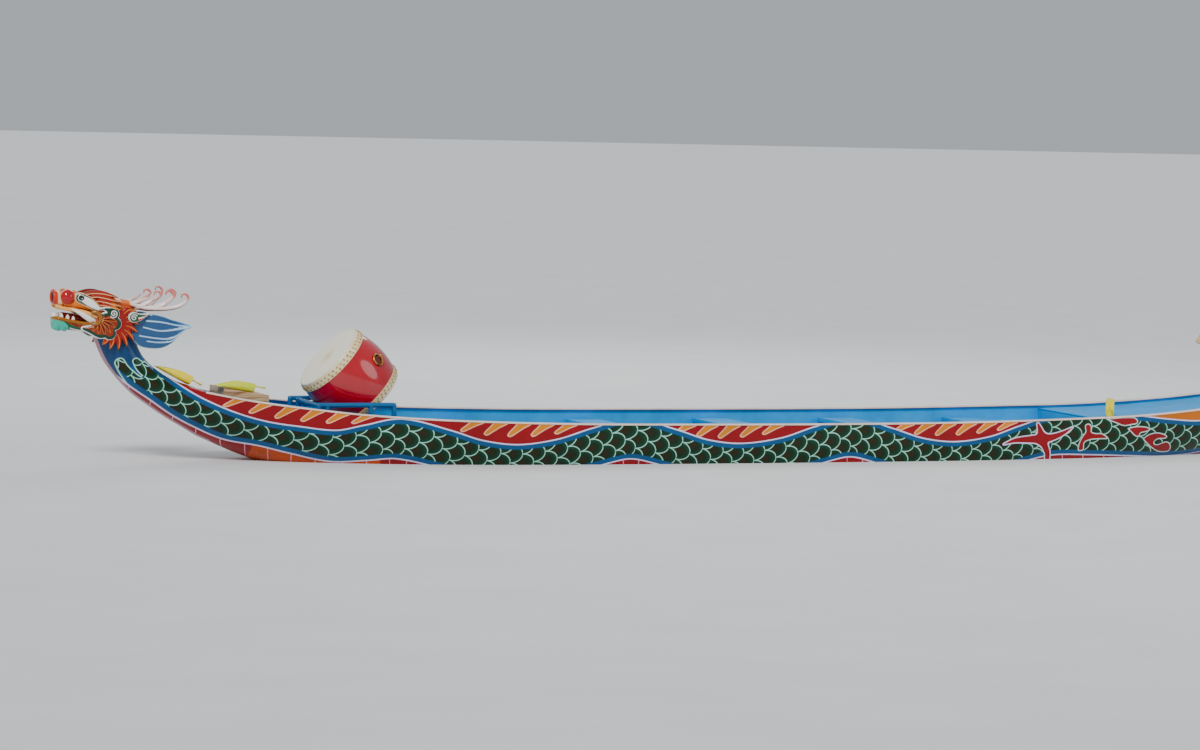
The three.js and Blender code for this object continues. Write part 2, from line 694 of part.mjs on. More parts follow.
// Gill fins: outlines that splay outwards from the nape; columns are x and z
const FIN_OUTLINE = [
  [-3870, 700],
  [-3872, 800],
  [-3828, 822],
  [-3775, 852],
  [-3716, 843],
  [-3662, 824],
  [-3570, 797],
  [-3548, 783],
  [-3600, 760],
  [-3632, 722],
  [-3652, 692],
  [-3703, 660],
  [-3750, 652],
  [-3825, 662],
];
const FIN = { inner: -104, thickness: 18, splay: 0.33, hinge: -3870 };
function splay(geometry) {
  const position = geometry.getAttribute("position");
  for (let i = 0; i < position.count; i++) {
    const out = (position.getX(i) - FIN.hinge) * FIN.splay;
    position.setY(i, position.getY(i) - out);
  }
  return geometry;
}
const finPlate = splay(uprightPlate(polygon(FIN_OUTLINE), FIN.inner - FIN.thickness, FIN.thickness));
const finRoot = block([-3868, -118, 705], [-3800, -60, 800]);
const fin = cut(join(finPlate, finRoot), skullRoom, neckRoom);
add("gill_fin_port", fin, paint.fin);
add("gill_fin_starboard", mirrored(fin), paint.fin);

// Cheek mane: spiked plates around the cheeks; columns are angle, valley radius and spike radius
const MANE = { x: -3990, z: 806, outer: -152, inner: -96 };
const MANE_SPIKES = [
  [28, 92, 138],
  [4, 100, 158],
  [-20, 104, 165],
  [-42, 104, 164],
  [-64, 102, 160],
  [-86, 98, 150],
  [-108, 92, 132],
];
function cheekMane() {
  const points = [];
  const half = 11;
  for (const [angle, valley, spike] of MANE_SPIKES) {
    const at = (a, r) => [MANE.x + Math.cos(deg(a)) * r, MANE.z + Math.sin(deg(a)) * r];
    points.push(at(angle + half, valley), at(angle, spike));
  }
  points.push([-4062, 716], [-4068, 790], [-4030, 846], [-3960, 868]);
  const plate = uprightPlate(polygon(points), MANE.outer, MANE.inner - MANE.outer);
  return cut(plate, skullRoom, jawRoom, neckRoom, ...room(fin), tuskForm, eyeForm);
}
const mane = cheekMane();
add("cheek_mane_port", mane, paint.orange);
add("cheek_mane_starboard", mirrored(mane), paint.orange);

// Ears: a round coil with a tail, seated on the mane
const EAR = { x: -3878, z: 832, radius: 31, inner: -152 - GAP, thickness: 20 };
function ear() {
  const outline = new THREE.Shape();
  outline.absarc(EAR.x, EAR.z, EAR.radius, deg(40), deg(320), false);
  outline.quadraticCurveTo(EAR.x + 52, EAR.z - 22, EAR.x + 92, EAR.z + 24);
  outline.quadraticCurveTo(EAR.x + 50, EAR.z + 24, EAR.x + 24, EAR.z + 20);
  return uprightPlate(outline, EAR.inner - EAR.thickness, EAR.thickness, 8);
}
const earPort = ear();
add("ear_port", earPort, paint.jaw);
add("ear_starboard", mirrored(earPort), paint.jaw);

// Horns: a long curling beam with two curled branches; columns are x, y, z and radius
const HORN_BEAM = [
  [-3925, -52, 915, 20],
  [-3870, -70, 902, 21],
  [-3800, -88, 882, 18],
  [-3740, -104, 878, 15],
  [-3680, -122, 880, 14],
  [-3620, -140, 892, 12],
  [-3575, -152, 920, 10],
  [-3556, -158, 950, 9],
  [-3576, -160, 972, 7],
  [-3600, -160, 962, 5],
];
const HORN_BRANCHES = [
  [
    [-3830, -82, 884, 14],
    [-3790, -92, 906, 12],
    [-3742, -104, 934, 10],
    [-3705, -112, 962, 9],
    [-3722, -112, 982, 7],
    [-3748, -110, 972, 5],
  ],
  [
    [-3735, -104, 878, 12],
    [-3690, -116, 904, 11],
    [-3645, -130, 940, 9],
    [-3628, -136, 975, 8],
    [-3650, -134, 998, 6],
    [-3675, -130, 986, 4],
  ],
];
function horn() {
  const branches = HORN_BRANCHES.map((table) => bar(table, 8, 6));
  return cut(join(bar(HORN_BEAM, 15, 6), ...branches), skullRoom, ...room(brow));
}
const hornPort = horn();
add("horn_port", hornPort, paint.horn);
add("horn_starboard", mirrored(hornPort), paint.horn);

// Tail: a rising stem; columns are underside x and z, back x and z, half width,
// belt and top squareness
const TAIL = [
  [STERN + GAP, 135, STERN + GAP, 416, 208, 0.93, 5],
  [3880, 225, 3835, 446, 162, 0.8, 3.6],
  [3995, 330, 3915, 496, 128, 0.66, 2.8],
  [4090, 450, 3980, 562, 98, 0.55, 2.4],
  [4160, 590, 4030, 655, 76, 0.5, 2.3],
  [4210, 740, 4085, 765, 58, 0.5, 2.3],
  [4240, 870, 4150, 872, 44, 0.5, 2.3],
];
add("tail_stem", neck(TAIL, 0), paint.hull);

// Tail flame: a plate of curling tongues on the stem's tip
const FLAME = { x: 4195, z: 880, thickness: 26 };
function tailFlame() {
  const outline = new THREE.Shape();
  outline.moveTo(FLAME.x - 40, FLAME.z - 8);
  const tongues = [
    [-95, 60, -70, 130],
    [-60, 175, 5, 215],
    [40, 190, 85, 175],
    [110, 120, 160, 90],
    [135, 40, 175, 0],
  ];
  const valleys = [
    [-45, 95],
    [10, 140],
    [65, 110],
    [90, 45],
    [44, -8],
  ];
  tongues.forEach(([bendX, bendZ, tipX, tipZ], i) => {
    outline.quadraticCurveTo(FLAME.x + bendX, FLAME.z + bendZ, FLAME.x + tipX, FLAME.z + tipZ);
    const [valleyX, valleyZ] = valleys[i];
    const pull = 0.5;
    const midX = FLAME.x + THREE.MathUtils.lerp(tipX, valleyX, pull) - 10;
    const midZ = FLAME.z + THREE.MathUtils.lerp(tipZ, valleyZ, pull) - 8;
    outline.quadraticCurveTo(midX, midZ, FLAME.x + valleyX, FLAME.z + valleyZ);
  });
  const plate = uprightPlate(outline, -FLAME.thickness / 2, FLAME.thickness, 4);
  return cut(plate, neck(TAIL, GAP).translate(0, 0, GAP));
}
add("tail_flame", tailFlame(), paint.orange);

// Steering: an arm across the port quarter, a yoke that swings on it, a collar that tips in
// the yoke, and an oar that twists in the collar
const STEER = { x: 3450, y: -420, armHalf: 28, armThick: 30 };
const railTopAt = (x) => stationAt(x).sheer + RAIL_TOP;
const ARM_UNDER = railTopAt(STEER.x + STEER.armHalf) - 2;
const ARM_TOP = ARM_UNDER + STEER.armThick;
const PIVOT_Z = ARM_TOP + 76;
const PIN = { radius: 9, play: 1.2 };
const SHAFT_RADIUS = 21;
const SHAFT_PLAY = 1.2;
const COLLAR = { outer: 34, half: 35, trunnion: 9, reach: 55 };
const FORK = { inside: 44, plate: 9, half: 24, play: 1 };

function steeringArm() {
  const deckTop = stationAt(STEER.x - STEER.armHalf).sheer - DECK_DROP;
  const arm = block(
    [STEER.x - STEER.armHalf, STEER.y - 40, ARM_UNDER],
    [STEER.x + STEER.armHalf, -90, ARM_TOP],
  );
  const footTop = ARM_UNDER + 5;
  const foot = loft(
    [STEER.x - STEER.armHalf, STEER.x + STEER.armHalf].map((x) => {
      const low = stationAt(x).sheer - DECK_DROP - 3;
      return [
        new THREE.Vector3(x, -210, low),
        new THREE.Vector3(x, -210, footTop),
        new THREE.Vector3(x, -90, footTop),
        new THREE.Vector3(x, -90, low),
      ];
    }),
  );
  const bore = PIN.radius + PIN.play;
  const hole = new THREE.CylinderGeometry(bore, bore, 120, 16).rotateX(HALF_TURN / 2);
  hole.translate(STEER.x, STEER.y, deckTop + 40);
  const seats = [railPort, afterdeck].map((piece) => piece.clone().translate(0, 0, GAP));
  return cut(join(arm, foot), hole, railPort, afterdeck, ...seats);
}
add("steering_arm", steeringArm(), paint.steel);

const upright = (radius, height, sides) =>
  new THREE.CylinderGeometry(radius, radius, height, sides).rotateX(HALF_TURN / 2);

function steeringYoke() {
  const baseZ = ARM_TOP + GAP;
  const reach = FORK.inside + FORK.plate;
  const base = block(
    [STEER.x - FORK.half, STEER.y - reach, baseZ],
    [STEER.x + FORK.half, STEER.y + reach, baseZ + 12],
  );
  const pinLength = STEER.armThick + 24;
  const pin = upright(PIN.radius, pinLength, 16).translate(STEER.x, STEER.y, baseZ + 6 - pinLength / 2);
  const nut = upright(19, 12, 6).translate(STEER.x, STEER.y, ARM_UNDER - GAP - 6);
  const cheeks = [-1, 1].map((side) => {
    const y = STEER.y + side * (FORK.inside + FORK.plate / 2);
    return block(
      [STEER.x - FORK.half, y - FORK.plate / 2, baseZ + 4],
      [STEER.x + FORK.half, y + FORK.plate / 2, PIVOT_Z + FORK.half],
    );
  });
  const bore = COLLAR.trunnion + FORK.play;
  const hole = new THREE.CylinderGeometry(bore, bore, 200, 16);
  hole.translate(STEER.x, STEER.y, PIVOT_Z);
  return cut(join(base, pin, nut, ...cheeks), hole);
}
add("steering_yoke", steeringYoke(), paint.steel);

// Pieces along the oar are drawn along +X and then tipped down towards the stern.
const tipOar = (geometry) =>
  geometry.rotateY(deg(OAR_SLOPE)).translate(STEER.x, STEER.y, PIVOT_Z);
const alongX = (radius, from, to, sides) =>
  new THREE.CylinderGeometry(radius, radius, to - from, sides)
    .rotateZ(-HALF_TURN / 2)
    .translate((from + to) / 2, 0, 0);

function steeringCollar() {
  const sleeve = alongX(COLLAR.outer, -COLLAR.half, COLLAR.half, 20);
  const trunnions = new THREE.CylinderGeometry(COLLAR.trunnion, COLLAR.trunnion, 2 * COLLAR.reach, 16);
  const bore = alongX(SHAFT_RADIUS + SHAFT_PLAY, -100, 100, 20);
  return tipOar(cut(join(sleeve, trunnions), bore));
}
add("steering_collar", steeringCollar(), paint.steel);

const OAR = { handle: -600, bladeFrom: 720, bladeTo: 1300, bladeHalf: 92, bladeThick: 22 };
const STOP = { radius: 30, length: 14, clear: 1 };
function steeringOar() {
  const shaft = alongX(SHAFT_RADIUS, OAR.handle, OAR.bladeFrom + 120, 16);
  const blade = new THREE.Shape();
  const [from, to, half] = [OAR.bladeFrom, OAR.bladeTo, OAR.bladeHalf];
  blade.moveTo(from - 40, -12);
  blade.quadraticCurveTo(from + 60, -30, from + 150, -half);
  blade.lineTo(to - 30, -half);
  blade.quadraticCurveTo(to, -half, to, -half + 30);
  blade.lineTo(to, half - 30);
  blade.quadraticCurveTo(to, half, to - 30, half);
  blade.lineTo(from + 150, half);
  blade.quadraticCurveTo(from + 60, 30, from - 40, 12);
  const plate = uprightPlate(blade, -OAR.bladeThick / 2, OAR.bladeThick, 4);
  const grip = new THREE.CylinderGeometry(16, 16, 130, 12).rotateX(HALF_TURN / 2);
  grip.translate(OAR.handle, 0, 0);
  const inner = COLLAR.half + STOP.clear;
  const stops = [
    alongX(STOP.radius, -inner - STOP.length, -inner, 16),
    alongX(STOP.radius, inner, inner + STOP.length, 16),
  ];
  return tipOar(join(shaft, plate, grip, ...stops));
}
add("steering_oar", steeringOar(), paint.wood);

// Bailers: yellow scoops, open at the top and the front, with a short handle behind
const BAILER = { length: 215, half: 54, back: 52, lip: 8, wall: 3, handle: 80 };
const GRIP = { half: 14, low: 22, high: 8 }; // the handle's half width, and its edges below the rim
function bailer() {
  const { length, half, back, lip, wall, handle } = BAILER;
  const side = polygon([
    [0, 0],
    [length, 0],
    [length, lip],
    [length * 0.4, back],
    [0, back],
  ]);
  const scoop = block([wall, wall - half, wall], [length + OUTSIDE, half - wall, back + OUTSIDE]);
  const grip = block([-handle, -GRIP.half, back - GRIP.low], [wall / 2, GRIP.half, back - GRIP.high]);
  return cut(join(uprightPlate(side, -half, 2 * half), grip), scoop);
}
const seatSlope = Math.atan2(seatDeck(SEAT_FROM, 0) - seatDeck(SEAT_TO, 0), SEAT_TO - SEAT_FROM);
const seatTop = (x) => seatDeck(SEAT_TO, SEAT_HIGH) + (SEAT_TO - x) * Math.tan(seatSlope);
const DECK_BAILER_X = -3150;
// Columns: node name, place, then the tip about Y, the roll about X and the turn about Z
const BAILERS = [
  ["bailer_neck", [-3530, -72, 443.1], deg(27), 0, 180],
  ["bailer_deck", [DECK_BAILER_X, -94, seatTop(DECK_BAILER_X) + GAP], seatSlope, 0, 180],
  ["bailer_stern", [2318, -320, 296.4], 0, 90, 62],
];
for (const [name, place, tip, roll, turn] of BAILERS) {
  const piece = bailer().rotateX(deg(roll)).rotateY(-tip).rotateZ(deg(turn));
  add(name, piece.translate(...place), paint.yellow);
}

export default boat;
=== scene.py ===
"""Looks of a painted racing dragon boat, built round its frame.

Metres, apart from the rows that mm() takes, which are millimetres. +X runs to the stern,
+Z is up, port is -Y, and the waterline lies at z = 0. Painted figures are stored on the
fine meshes as marks: how far each point lies from a painted outline. The finishes turn
marks into crisp colour edges.
"""

import logging
import math
from dataclasses import dataclass, field
from enum import Enum
from functools import reduce
from typing import Callable, Sequence

import bmesh
import bpy
import numpy as np
from mathutils import Matrix, Vector
from mathutils.geometry import tessellate_polygon


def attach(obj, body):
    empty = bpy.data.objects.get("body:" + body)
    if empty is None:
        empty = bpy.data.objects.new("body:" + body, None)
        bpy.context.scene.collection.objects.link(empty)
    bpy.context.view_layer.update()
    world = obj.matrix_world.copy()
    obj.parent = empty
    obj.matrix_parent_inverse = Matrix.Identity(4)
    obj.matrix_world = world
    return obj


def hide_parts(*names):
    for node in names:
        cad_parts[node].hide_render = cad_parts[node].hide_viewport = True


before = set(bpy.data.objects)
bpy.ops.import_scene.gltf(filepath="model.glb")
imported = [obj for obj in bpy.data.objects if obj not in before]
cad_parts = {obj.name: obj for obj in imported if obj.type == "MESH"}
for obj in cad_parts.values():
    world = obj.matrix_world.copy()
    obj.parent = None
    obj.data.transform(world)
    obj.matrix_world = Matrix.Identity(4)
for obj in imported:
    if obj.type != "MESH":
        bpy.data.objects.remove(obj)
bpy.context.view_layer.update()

Array = np.ndarray
Table = Sequence[Sequence[float]]
Outline = Callable[[Array, Array], Array]
Tree = bpy.types.NodeTree
Socket = bpy.types.NodeSocket
log = logging.getLogger("dragon_boat")

MM = 0.001
FAR = 9.0  # a mark's value where its figure is nowhere near


class Body(Enum):
    """The bodies that pieces ride on."""

    BOAT = "boat"
    YOKE = "yoke"
    COLLAR = "collar"
    OAR = "oar"


class Side(Enum):
    """The two sides of the boat, each with the sign of its Y."""

    PORT = -1
    STARBOARD = 1

    @property
    def word(self) -> str:
        """The side's name as the nodes spell it."""
        return self.name.lower()


# Curves and distances


def circle(count: int) -> Array:
    """Cosines and sines of evenly spread places round a circle."""
    turn = np.arange(count) * 2 * math.pi / count
    return np.array([np.cos(turn), np.sin(turn)])


def follow(table: Table, at: Array) -> Array:
    """Read a table along its first column, every other column on a smooth curve.

    Args:
        table: Rows that start with a rising place.
        at: Places to read it at.

    Returns:
        One row for each place, with all the columns.
    """
    rows = np.asarray(table, float)
    x = rows[:, 0]
    order = np.arange(len(x))
    before, after = np.clip(order - 1, 0, None), np.clip(order + 1, None, len(x) - 1)
    slope = (rows[after] - rows[before]) / (x[after] - x[before])[:, None]
    k = np.clip(np.searchsorted(x, at, side="right") - 1, 0, len(x) - 2)
    run = (x[k + 1] - x[k])[:, None]
    t = np.clip((at[:, None] - x[k][:, None]) / run, 0, 1)
    return (
        (2 * t**3 - 3 * t**2 + 1) * rows[k]
        + (t**3 - 2 * t**2 + t) * run * slope[k]
        + (3 * t**2 - 2 * t**3) * rows[k + 1]
        + (t**3 - t**2) * run * slope[k + 1]
    )


def smooth_path(points: Table, count: int, places: int = 3) -> Array:
    """Lay a smooth path through points.

    Args:
        points: Rows of coordinates, with any further columns behind them.
        count: Number of rows to give back.
        places: How many leading columns measure the distance along the path.

    Returns:
        Rows evenly spread along the path.
    """
    rows = np.asarray(points, float)
    steps = np.linalg.norm(np.diff(rows[:, :places], axis=0), axis=1)
    length = np.concatenate([[0], np.cumsum(steps)])
    return follow(np.column_stack([length, rows]), np.linspace(0, length[-1], count))[:, 1:]


def chain_distance(x: Array, z: Array, chain: Table) -> Array:
    """Measure how far points lie from a chain of round-ended strokes.

    Args:
        x: Places along the boat.
        z: Heights.
        chain: Rows of x, z and radius.

    Returns:
        The distance to the chain's skin, negative inside it.
    """
    rows = np.asarray(chain, float)
    best = np.full(np.shape(x), FAR)
    for (ax, az, ar), (bx, bz, br) in zip(rows[:-1], rows[1:]):
        dx, dz = bx - ax, bz - az
        t = np.clip(((x - ax) * dx + (z - az) * dz) / (dx * dx + dz * dz), 0, 1)
        best = np.minimum(best, np.hypot(x - ax - t * dx, z - az - t * dz) - (ar + (br - ar) * t))
    return best


def mm(*rows: Sequence[float]) -> Array:
    """Turn rows of millimetres into metres."""
    return np.array(rows) / 1000


def stroke(points: Table, count: int = 16) -> Array:
    """Smooth a short chain of x, z and radius into a fine one."""
    return smooth_path(points, count, places=2)


def nearest(*chains: Table) -> Outline:
    """An outline of one or more chains that keep their own ends."""
    return lambda x, z: np.stack([chain_distance(x, z, chain) for chain in chains]).min(0)


def streaks(chains: Sequence[Array], skip: int, stop: int, thin: float, wide: float) -> Outline:
    """Lay a line that widens along the middle of each chain.

    Args:
        chains: Fine chains of x, z and radius.
        skip: Points left bare at a chain's start.
        stop: Points left bare at its end.
        thin: Radius at the line's start.
        wide: Radius at its end.

    Returns:
        The outline of all the lines.
    """
    middles = (chain[skip:-stop, :2] for chain in chains)
    return nearest(*(np.column_stack([m, np.linspace(thin, wide, len(m))]) for m in middles))


def spiral(centre: tuple[float, float], turns: tuple[float, float], reach: float, radius: float) -> Outline:
    """Draw a line that winds inwards.

    Args:
        centre: Its middle's x and z.
        turns: Its first and last angle in radians.
        reach: How far from the middle it starts.
        radius: Half its width.

    Returns:
        Its outline.
    """
    a, r = np.linspace(*turns, 40), np.linspace(reach, 3 * MM, 40)
    x, z = centre
    return nearest(np.column_stack([x + r * np.cos(a), z + r * np.sin(a), np.full(40, radius)]))


def ray(centre: tuple[float, float], *rows: tuple[float, float, float]) -> Array:
    """Lay a fine stroke outwards from a centre.

    Args:
        centre: Its x and z.
        rows: Angle in radians, distance and radius at each point of the stroke.

    Returns:
        Its chain of x, z and radius.
    """
    x, z = centre
    return stroke([(x + r * math.cos(a), z + r * math.sin(a), wide) for a, r, wide in rows])


def polygon_distance(x: Array, z: Array, corners: Table) -> Array:
    """Measure how far points lie from a closed outline, negative inside it.

    Args:
        x: Places along the boat.
        z: Heights.
        corners: The outline's corners, x and z.

    Returns:
        The signed distance.
    """
    shape = np.asarray(corners, float)
    best = np.full(np.shape(x), FAR)
    inside = np.zeros(np.shape(x), bool)
    for (ax, az), (bx, bz) in zip(shape, np.roll(shape, -1, axis=0)):
        dx, dz = bx - ax, bz - az
        t = np.clip(((x - ax) * dx + (z - az) * dz) / (dx * dx + dz * dz), 0, 1)
        best = np.minimum(best, np.hypot(x - ax - t * dx, z - az - t * dz))
        crosses = (az > z) != (bz > z)
        with np.errstate(divide="ignore", invalid="ignore"):
            inside ^= crosses & (x < (bx - ax) * (z - az) / (bz - az) + ax)
    return np.where(inside, -best, best)


def blended(a: Array, b: Array, width: float) -> Array:
    """Join two distances with a fillet of about that width."""
    h = np.clip(0.5 + 0.5 * (b - a) / width, 0, 1)
    return b + (a - b) * h - width * h * (1 - h)


# Meshes


@dataclass
class Shape:
    """Points, faces and painted marks of a piece in the making."""

    points: Array
    faces: list[tuple[int, ...]]
    marks: dict[str, Array] = field(default_factory=dict)

    def faced_out(self) -> "Shape":
        """Turn a closed shape's faces outwards.

        Returns:
            The same shape.
        """
        volume = 0.0
        for face in self.faces:
            a = self.points[face[0]]
            for i in range(1, len(face) - 1):
                volume += np.dot(a, np.cross(self.points[face[i]], self.points[face[i + 1]]))
        if volume < 0:
            self.faces = [face[::-1] for face in self.faces]
        return self

    def mirrored(self) -> "Shape":
        """The same shape on the other side of the centreline."""
        return Shape(self.points * (1, -1, 1), [f[::-1] for f in self.faces], dict(self.marks))

    def on(self, side: Side) -> "Shape":
        """The shape, drawn for port, on the side that is asked for."""
        return self if side is Side.PORT else self.mirrored()

    def joined(self, *others: "Shape") -> "Shape":
        """Put several shapes into one.

        Args:
            others: The shapes that come in after this one.

        Returns:
            One shape; a mark that a shape lacks is far away on its points.
        """
        shapes = (self, *others)
        starts = np.cumsum([0] + [len(s.points) for s in shapes[:-1]])
        faces = [tuple(i + start for i in f) for s, start in zip(shapes, starts) for f in s.faces]
        names = {name for s in shapes for name in s.marks}
        marks = {
            n: np.concatenate([s.marks.get(n, np.full(len(s.points), FAR)) for s in shapes])
            for n in names
        }
        return Shape(np.concatenate([s.points for s in shapes]), faces, marks)

    def marked(self, **figures: Outline) -> "Shape":
        """Store the distance from painted figures on the points.

        Args:
            figures: An outline in X and Z for each mark's name.

        Returns:
            The same shape.
        """
        for name, outline in figures.items():
            self.marks[name] = outline(self.points[:, 0], self.points[:, 2])
        return self

    def moved(self, matrix: Matrix) -> "Shape":
        """The shape carried by a matrix that neither scales nor mirrors."""
        turn, shift = np.array(matrix.to_3x3()), np.array(matrix.translation)
        return Shape(self.points @ turn.T + shift, self.faces, self.marks)

    def mesh(self, name: str, smooth_under: float = 40.0) -> bpy.types.Object:
        """Make the object with its marks.

        Args:
            name: The piece's name.
            smooth_under: Angle in degrees under which two faces meet smoothly.

        Returns:
            The object, in the scene.
        """
        data = bpy.data.meshes.new(name)
        data.from_pydata(self.points.tolist(), [], self.faces)
        data.validate()
        for mark, values in self.marks.items():
            attribute = data.attributes.new(mark, "FLOAT", "POINT")
            attribute.data.foreach_set("value", np.asarray(values, np.float32))
        return smoothed(name, data, smooth_under)


def linked(name: str, data: bpy.types.ID) -> bpy.types.Object:
    """Put a mesh, lamp or camera into the scene.

    Args:
        name: The object's name.
        data: What it shows.

    Returns:
        The object.
    """
    thing = bpy.data.objects.new(name, data)
    bpy.context.scene.collection.objects.link(thing)
    return thing


def smoothed(name: str, data: bpy.types.Mesh, smooth_under: float) -> bpy.types.Object:
    """Put a mesh into the scene, smooth where its faces meet under an angle.

    Args:
        name: The piece's name.
        data: Its mesh.
        smooth_under: The angle in degrees.

    Returns:
        The object.
    """
    data.name = name
    data.shade_smooth()
    data.set_sharp_from_angle(angle=math.radians(smooth_under))
    return linked(name, data)


def read_shape(data: bpy.types.Mesh) -> Shape:
    """Take a mesh back as a shape.

    Args:
        data: The mesh.

    Returns:
        Its points and faces, without marks.
    """
    points = np.zeros(len(data.vertices) * 3, np.float32)
    data.vertices.foreach_get("co", points)
    return Shape(points.reshape(-1, 3).astype(float), [tuple(p.vertices) for p in data.polygons])


def settled(piece: bpy.types.Object) -> bpy.types.Mesh:
    """Bake an object's modifiers and drop the object.

    Args:
        piece: The object.

    Returns:
        The plain mesh.
    """
    graph = bpy.context.evaluated_depsgraph_get()
    data = bpy.data.meshes.new_from_object(piece.evaluated_get(graph), depsgraph=graph)
    bpy.data.objects.remove(piece)
    return data


def fused(shape: Shape, voxel: float, rounds: int = 3) -> Shape:
    """Melt overlapping closed forms into one carved skin.

    Args:
        shape: Overlapping closed forms.
        voxel: Size of the grid that the skin is found on.
        rounds: How often the skin is smoothed.

    Returns:
        One closed shape.
    """
    piece = shape.mesh("melt")
    melt = piece.modifiers.new("melt", "REMESH")
    melt.mode = "VOXEL"
    melt.voxel_size = voxel
    ease = piece.modifiers.new("ease", "SMOOTH")
    ease.factor = 0.5
    ease.iterations = rounds
    return read_shape(settled(piece))


def skin_faces(count: int, sides: int, closed: bool) -> list[tuple[int, ...]]:
    """List the quads of a skin through rings of points.

    Args:
        count: Number of rings.
        sides: Points on a ring.
        closed: True where the last ring joins the first.

    Returns:
        The quads, by the points' numbers.
    """
    here = np.arange(count if closed else count - 1)[:, None] * sides
    then = (here + sides) % (count * sides)
    i, j = np.arange(sides), np.roll(np.arange(sides), -1)
    quads = np.stack([here + i, here + j, then + j, then + i], -1)
    return [tuple(q) for q in quads.reshape(-1, 4).tolist()]


def loft(rings: Array | list[Array]) -> Shape:
    """Close a body through rings of equal point counts.

    Args:
        rings: Ring, point and coordinate.

    Returns:
        The closed shape, with flat ends.
    """
    rings = np.asarray(rings)
    count, sides = rings.shape[:2]
    last = (count - 1) * sides
    faces = skin_faces(count, sides, False)
    faces += [tuple(range(sides))[::-1], tuple(range(last, last + sides))]
    return Shape(rings.reshape(-1, 3), faces).faced_out()


def hoop(rings: Array | list[Array]) -> Shape:
    """Close a body through rings of points of which the last joins the first.

    Args:
        rings: Ring, point and coordinate.

    Returns:
        The closed shape, its coinciding points welded.
    """
    rings = np.asarray(rings)
    return merged(Shape(rings.reshape(-1, 3), skin_faces(*rings.shape[:2], True)))


def tube(points: Table, steps: int, sides: int = 14) -> Shape:
    """Draw a round bar along a smooth path, with round ends.

    Args:
        points: Rows of x, y, z and radius.
        steps: Lengths along the bar.
        sides: Points round it.

    Returns:
        The closed bar.
    """
    path = smooth_path(points, steps + 1)
    centre, radius = path[:, :3], path[:, 3]
    along = np.gradient(centre, axis=0)
    along /= np.linalg.norm(along, axis=1)[:, None]
    stations = list(zip(centre, along, radius))
    for a in np.radians((22.5, 45.0, 67.5)):
        first, last = (
            (centre[end] + way * along[end] * radius[end] * math.sin(a), along[end],
             radius[end] * math.cos(a))
            for end, way in ((0, -1), (-1, 1))
        )
        stations = [first, *stations, last]
    side = np.array([0.0, 1.0, 0.0]) if abs(along[0][1]) < 0.9 else np.array([1.0, 0.0, 0.0])
    c, s = circle(sides)
    rings = []
    for place, forward, r in stations:
        side = side - forward * np.dot(side, forward)
        side /= np.linalg.norm(side)
        rings.append(place + r * (np.outer(c, side) + np.outer(s, np.cross(side, forward))))
    return loft(rings)


def ball(centre: Sequence[float], radii: Sequence[float], tip: float = 0.0, count: int = 40) -> Shape:
    """Draw an egg form, tipped in the X-Z plane by an angle in radians.

    Args:
        centre: Its middle.
        radii: Its half sizes along X, Y and Z before it is tipped.
        tip: The angle from X towards -Z.
        count: Points round it.

    Returns:
        The closed form.
    """
    pole = 0.04  # angle at which the small flat end lies, in radians
    across, up = circle(count)
    rings = np.array([
        np.column_stack([np.full(count, math.cos(a)), math.sin(a) * across, math.sin(a) * up]) * radii
        for a in np.linspace(pole, math.pi - pole, count // 2)
    ])
    c, s = math.cos(tip), math.sin(tip)
    return loft(rings @ np.array([[c, 0, -s], [0, 1, 0], [s, 0, c]]) + centre)


def revolved(profile: Table, steps: int = 96) -> Shape:
    """Turn a closed profile round the Z axis.

    Args:
        profile: Rows of radius and height, the loop closing on itself.
        steps: Points round the axis.

    Returns:
        The closed ring or disc.
    """
    radius, height = np.asarray(profile, float).T
    return hoop([np.column_stack([radius * c, radius * s, height]) for c, s in circle(steps).T])


def merged(shape: Shape) -> Shape:
    """Weld points that coincide and turn the faces outwards.

    Args:
        shape: A closed form with doubled points.

    Returns:
        The welded form.
    """
    data = bpy.data.meshes.new("weld")
    data.from_pydata(shape.points.tolist(), [], shape.faces)
    form = bmesh.new()
    form.from_mesh(data)
    bmesh.ops.remove_doubles(form, verts=form.verts, dist=0.01 * MM)
    bmesh.ops.recalc_face_normals(form, faces=form.faces)
    form.to_mesh(data)
    form.free()
    return read_shape(data)


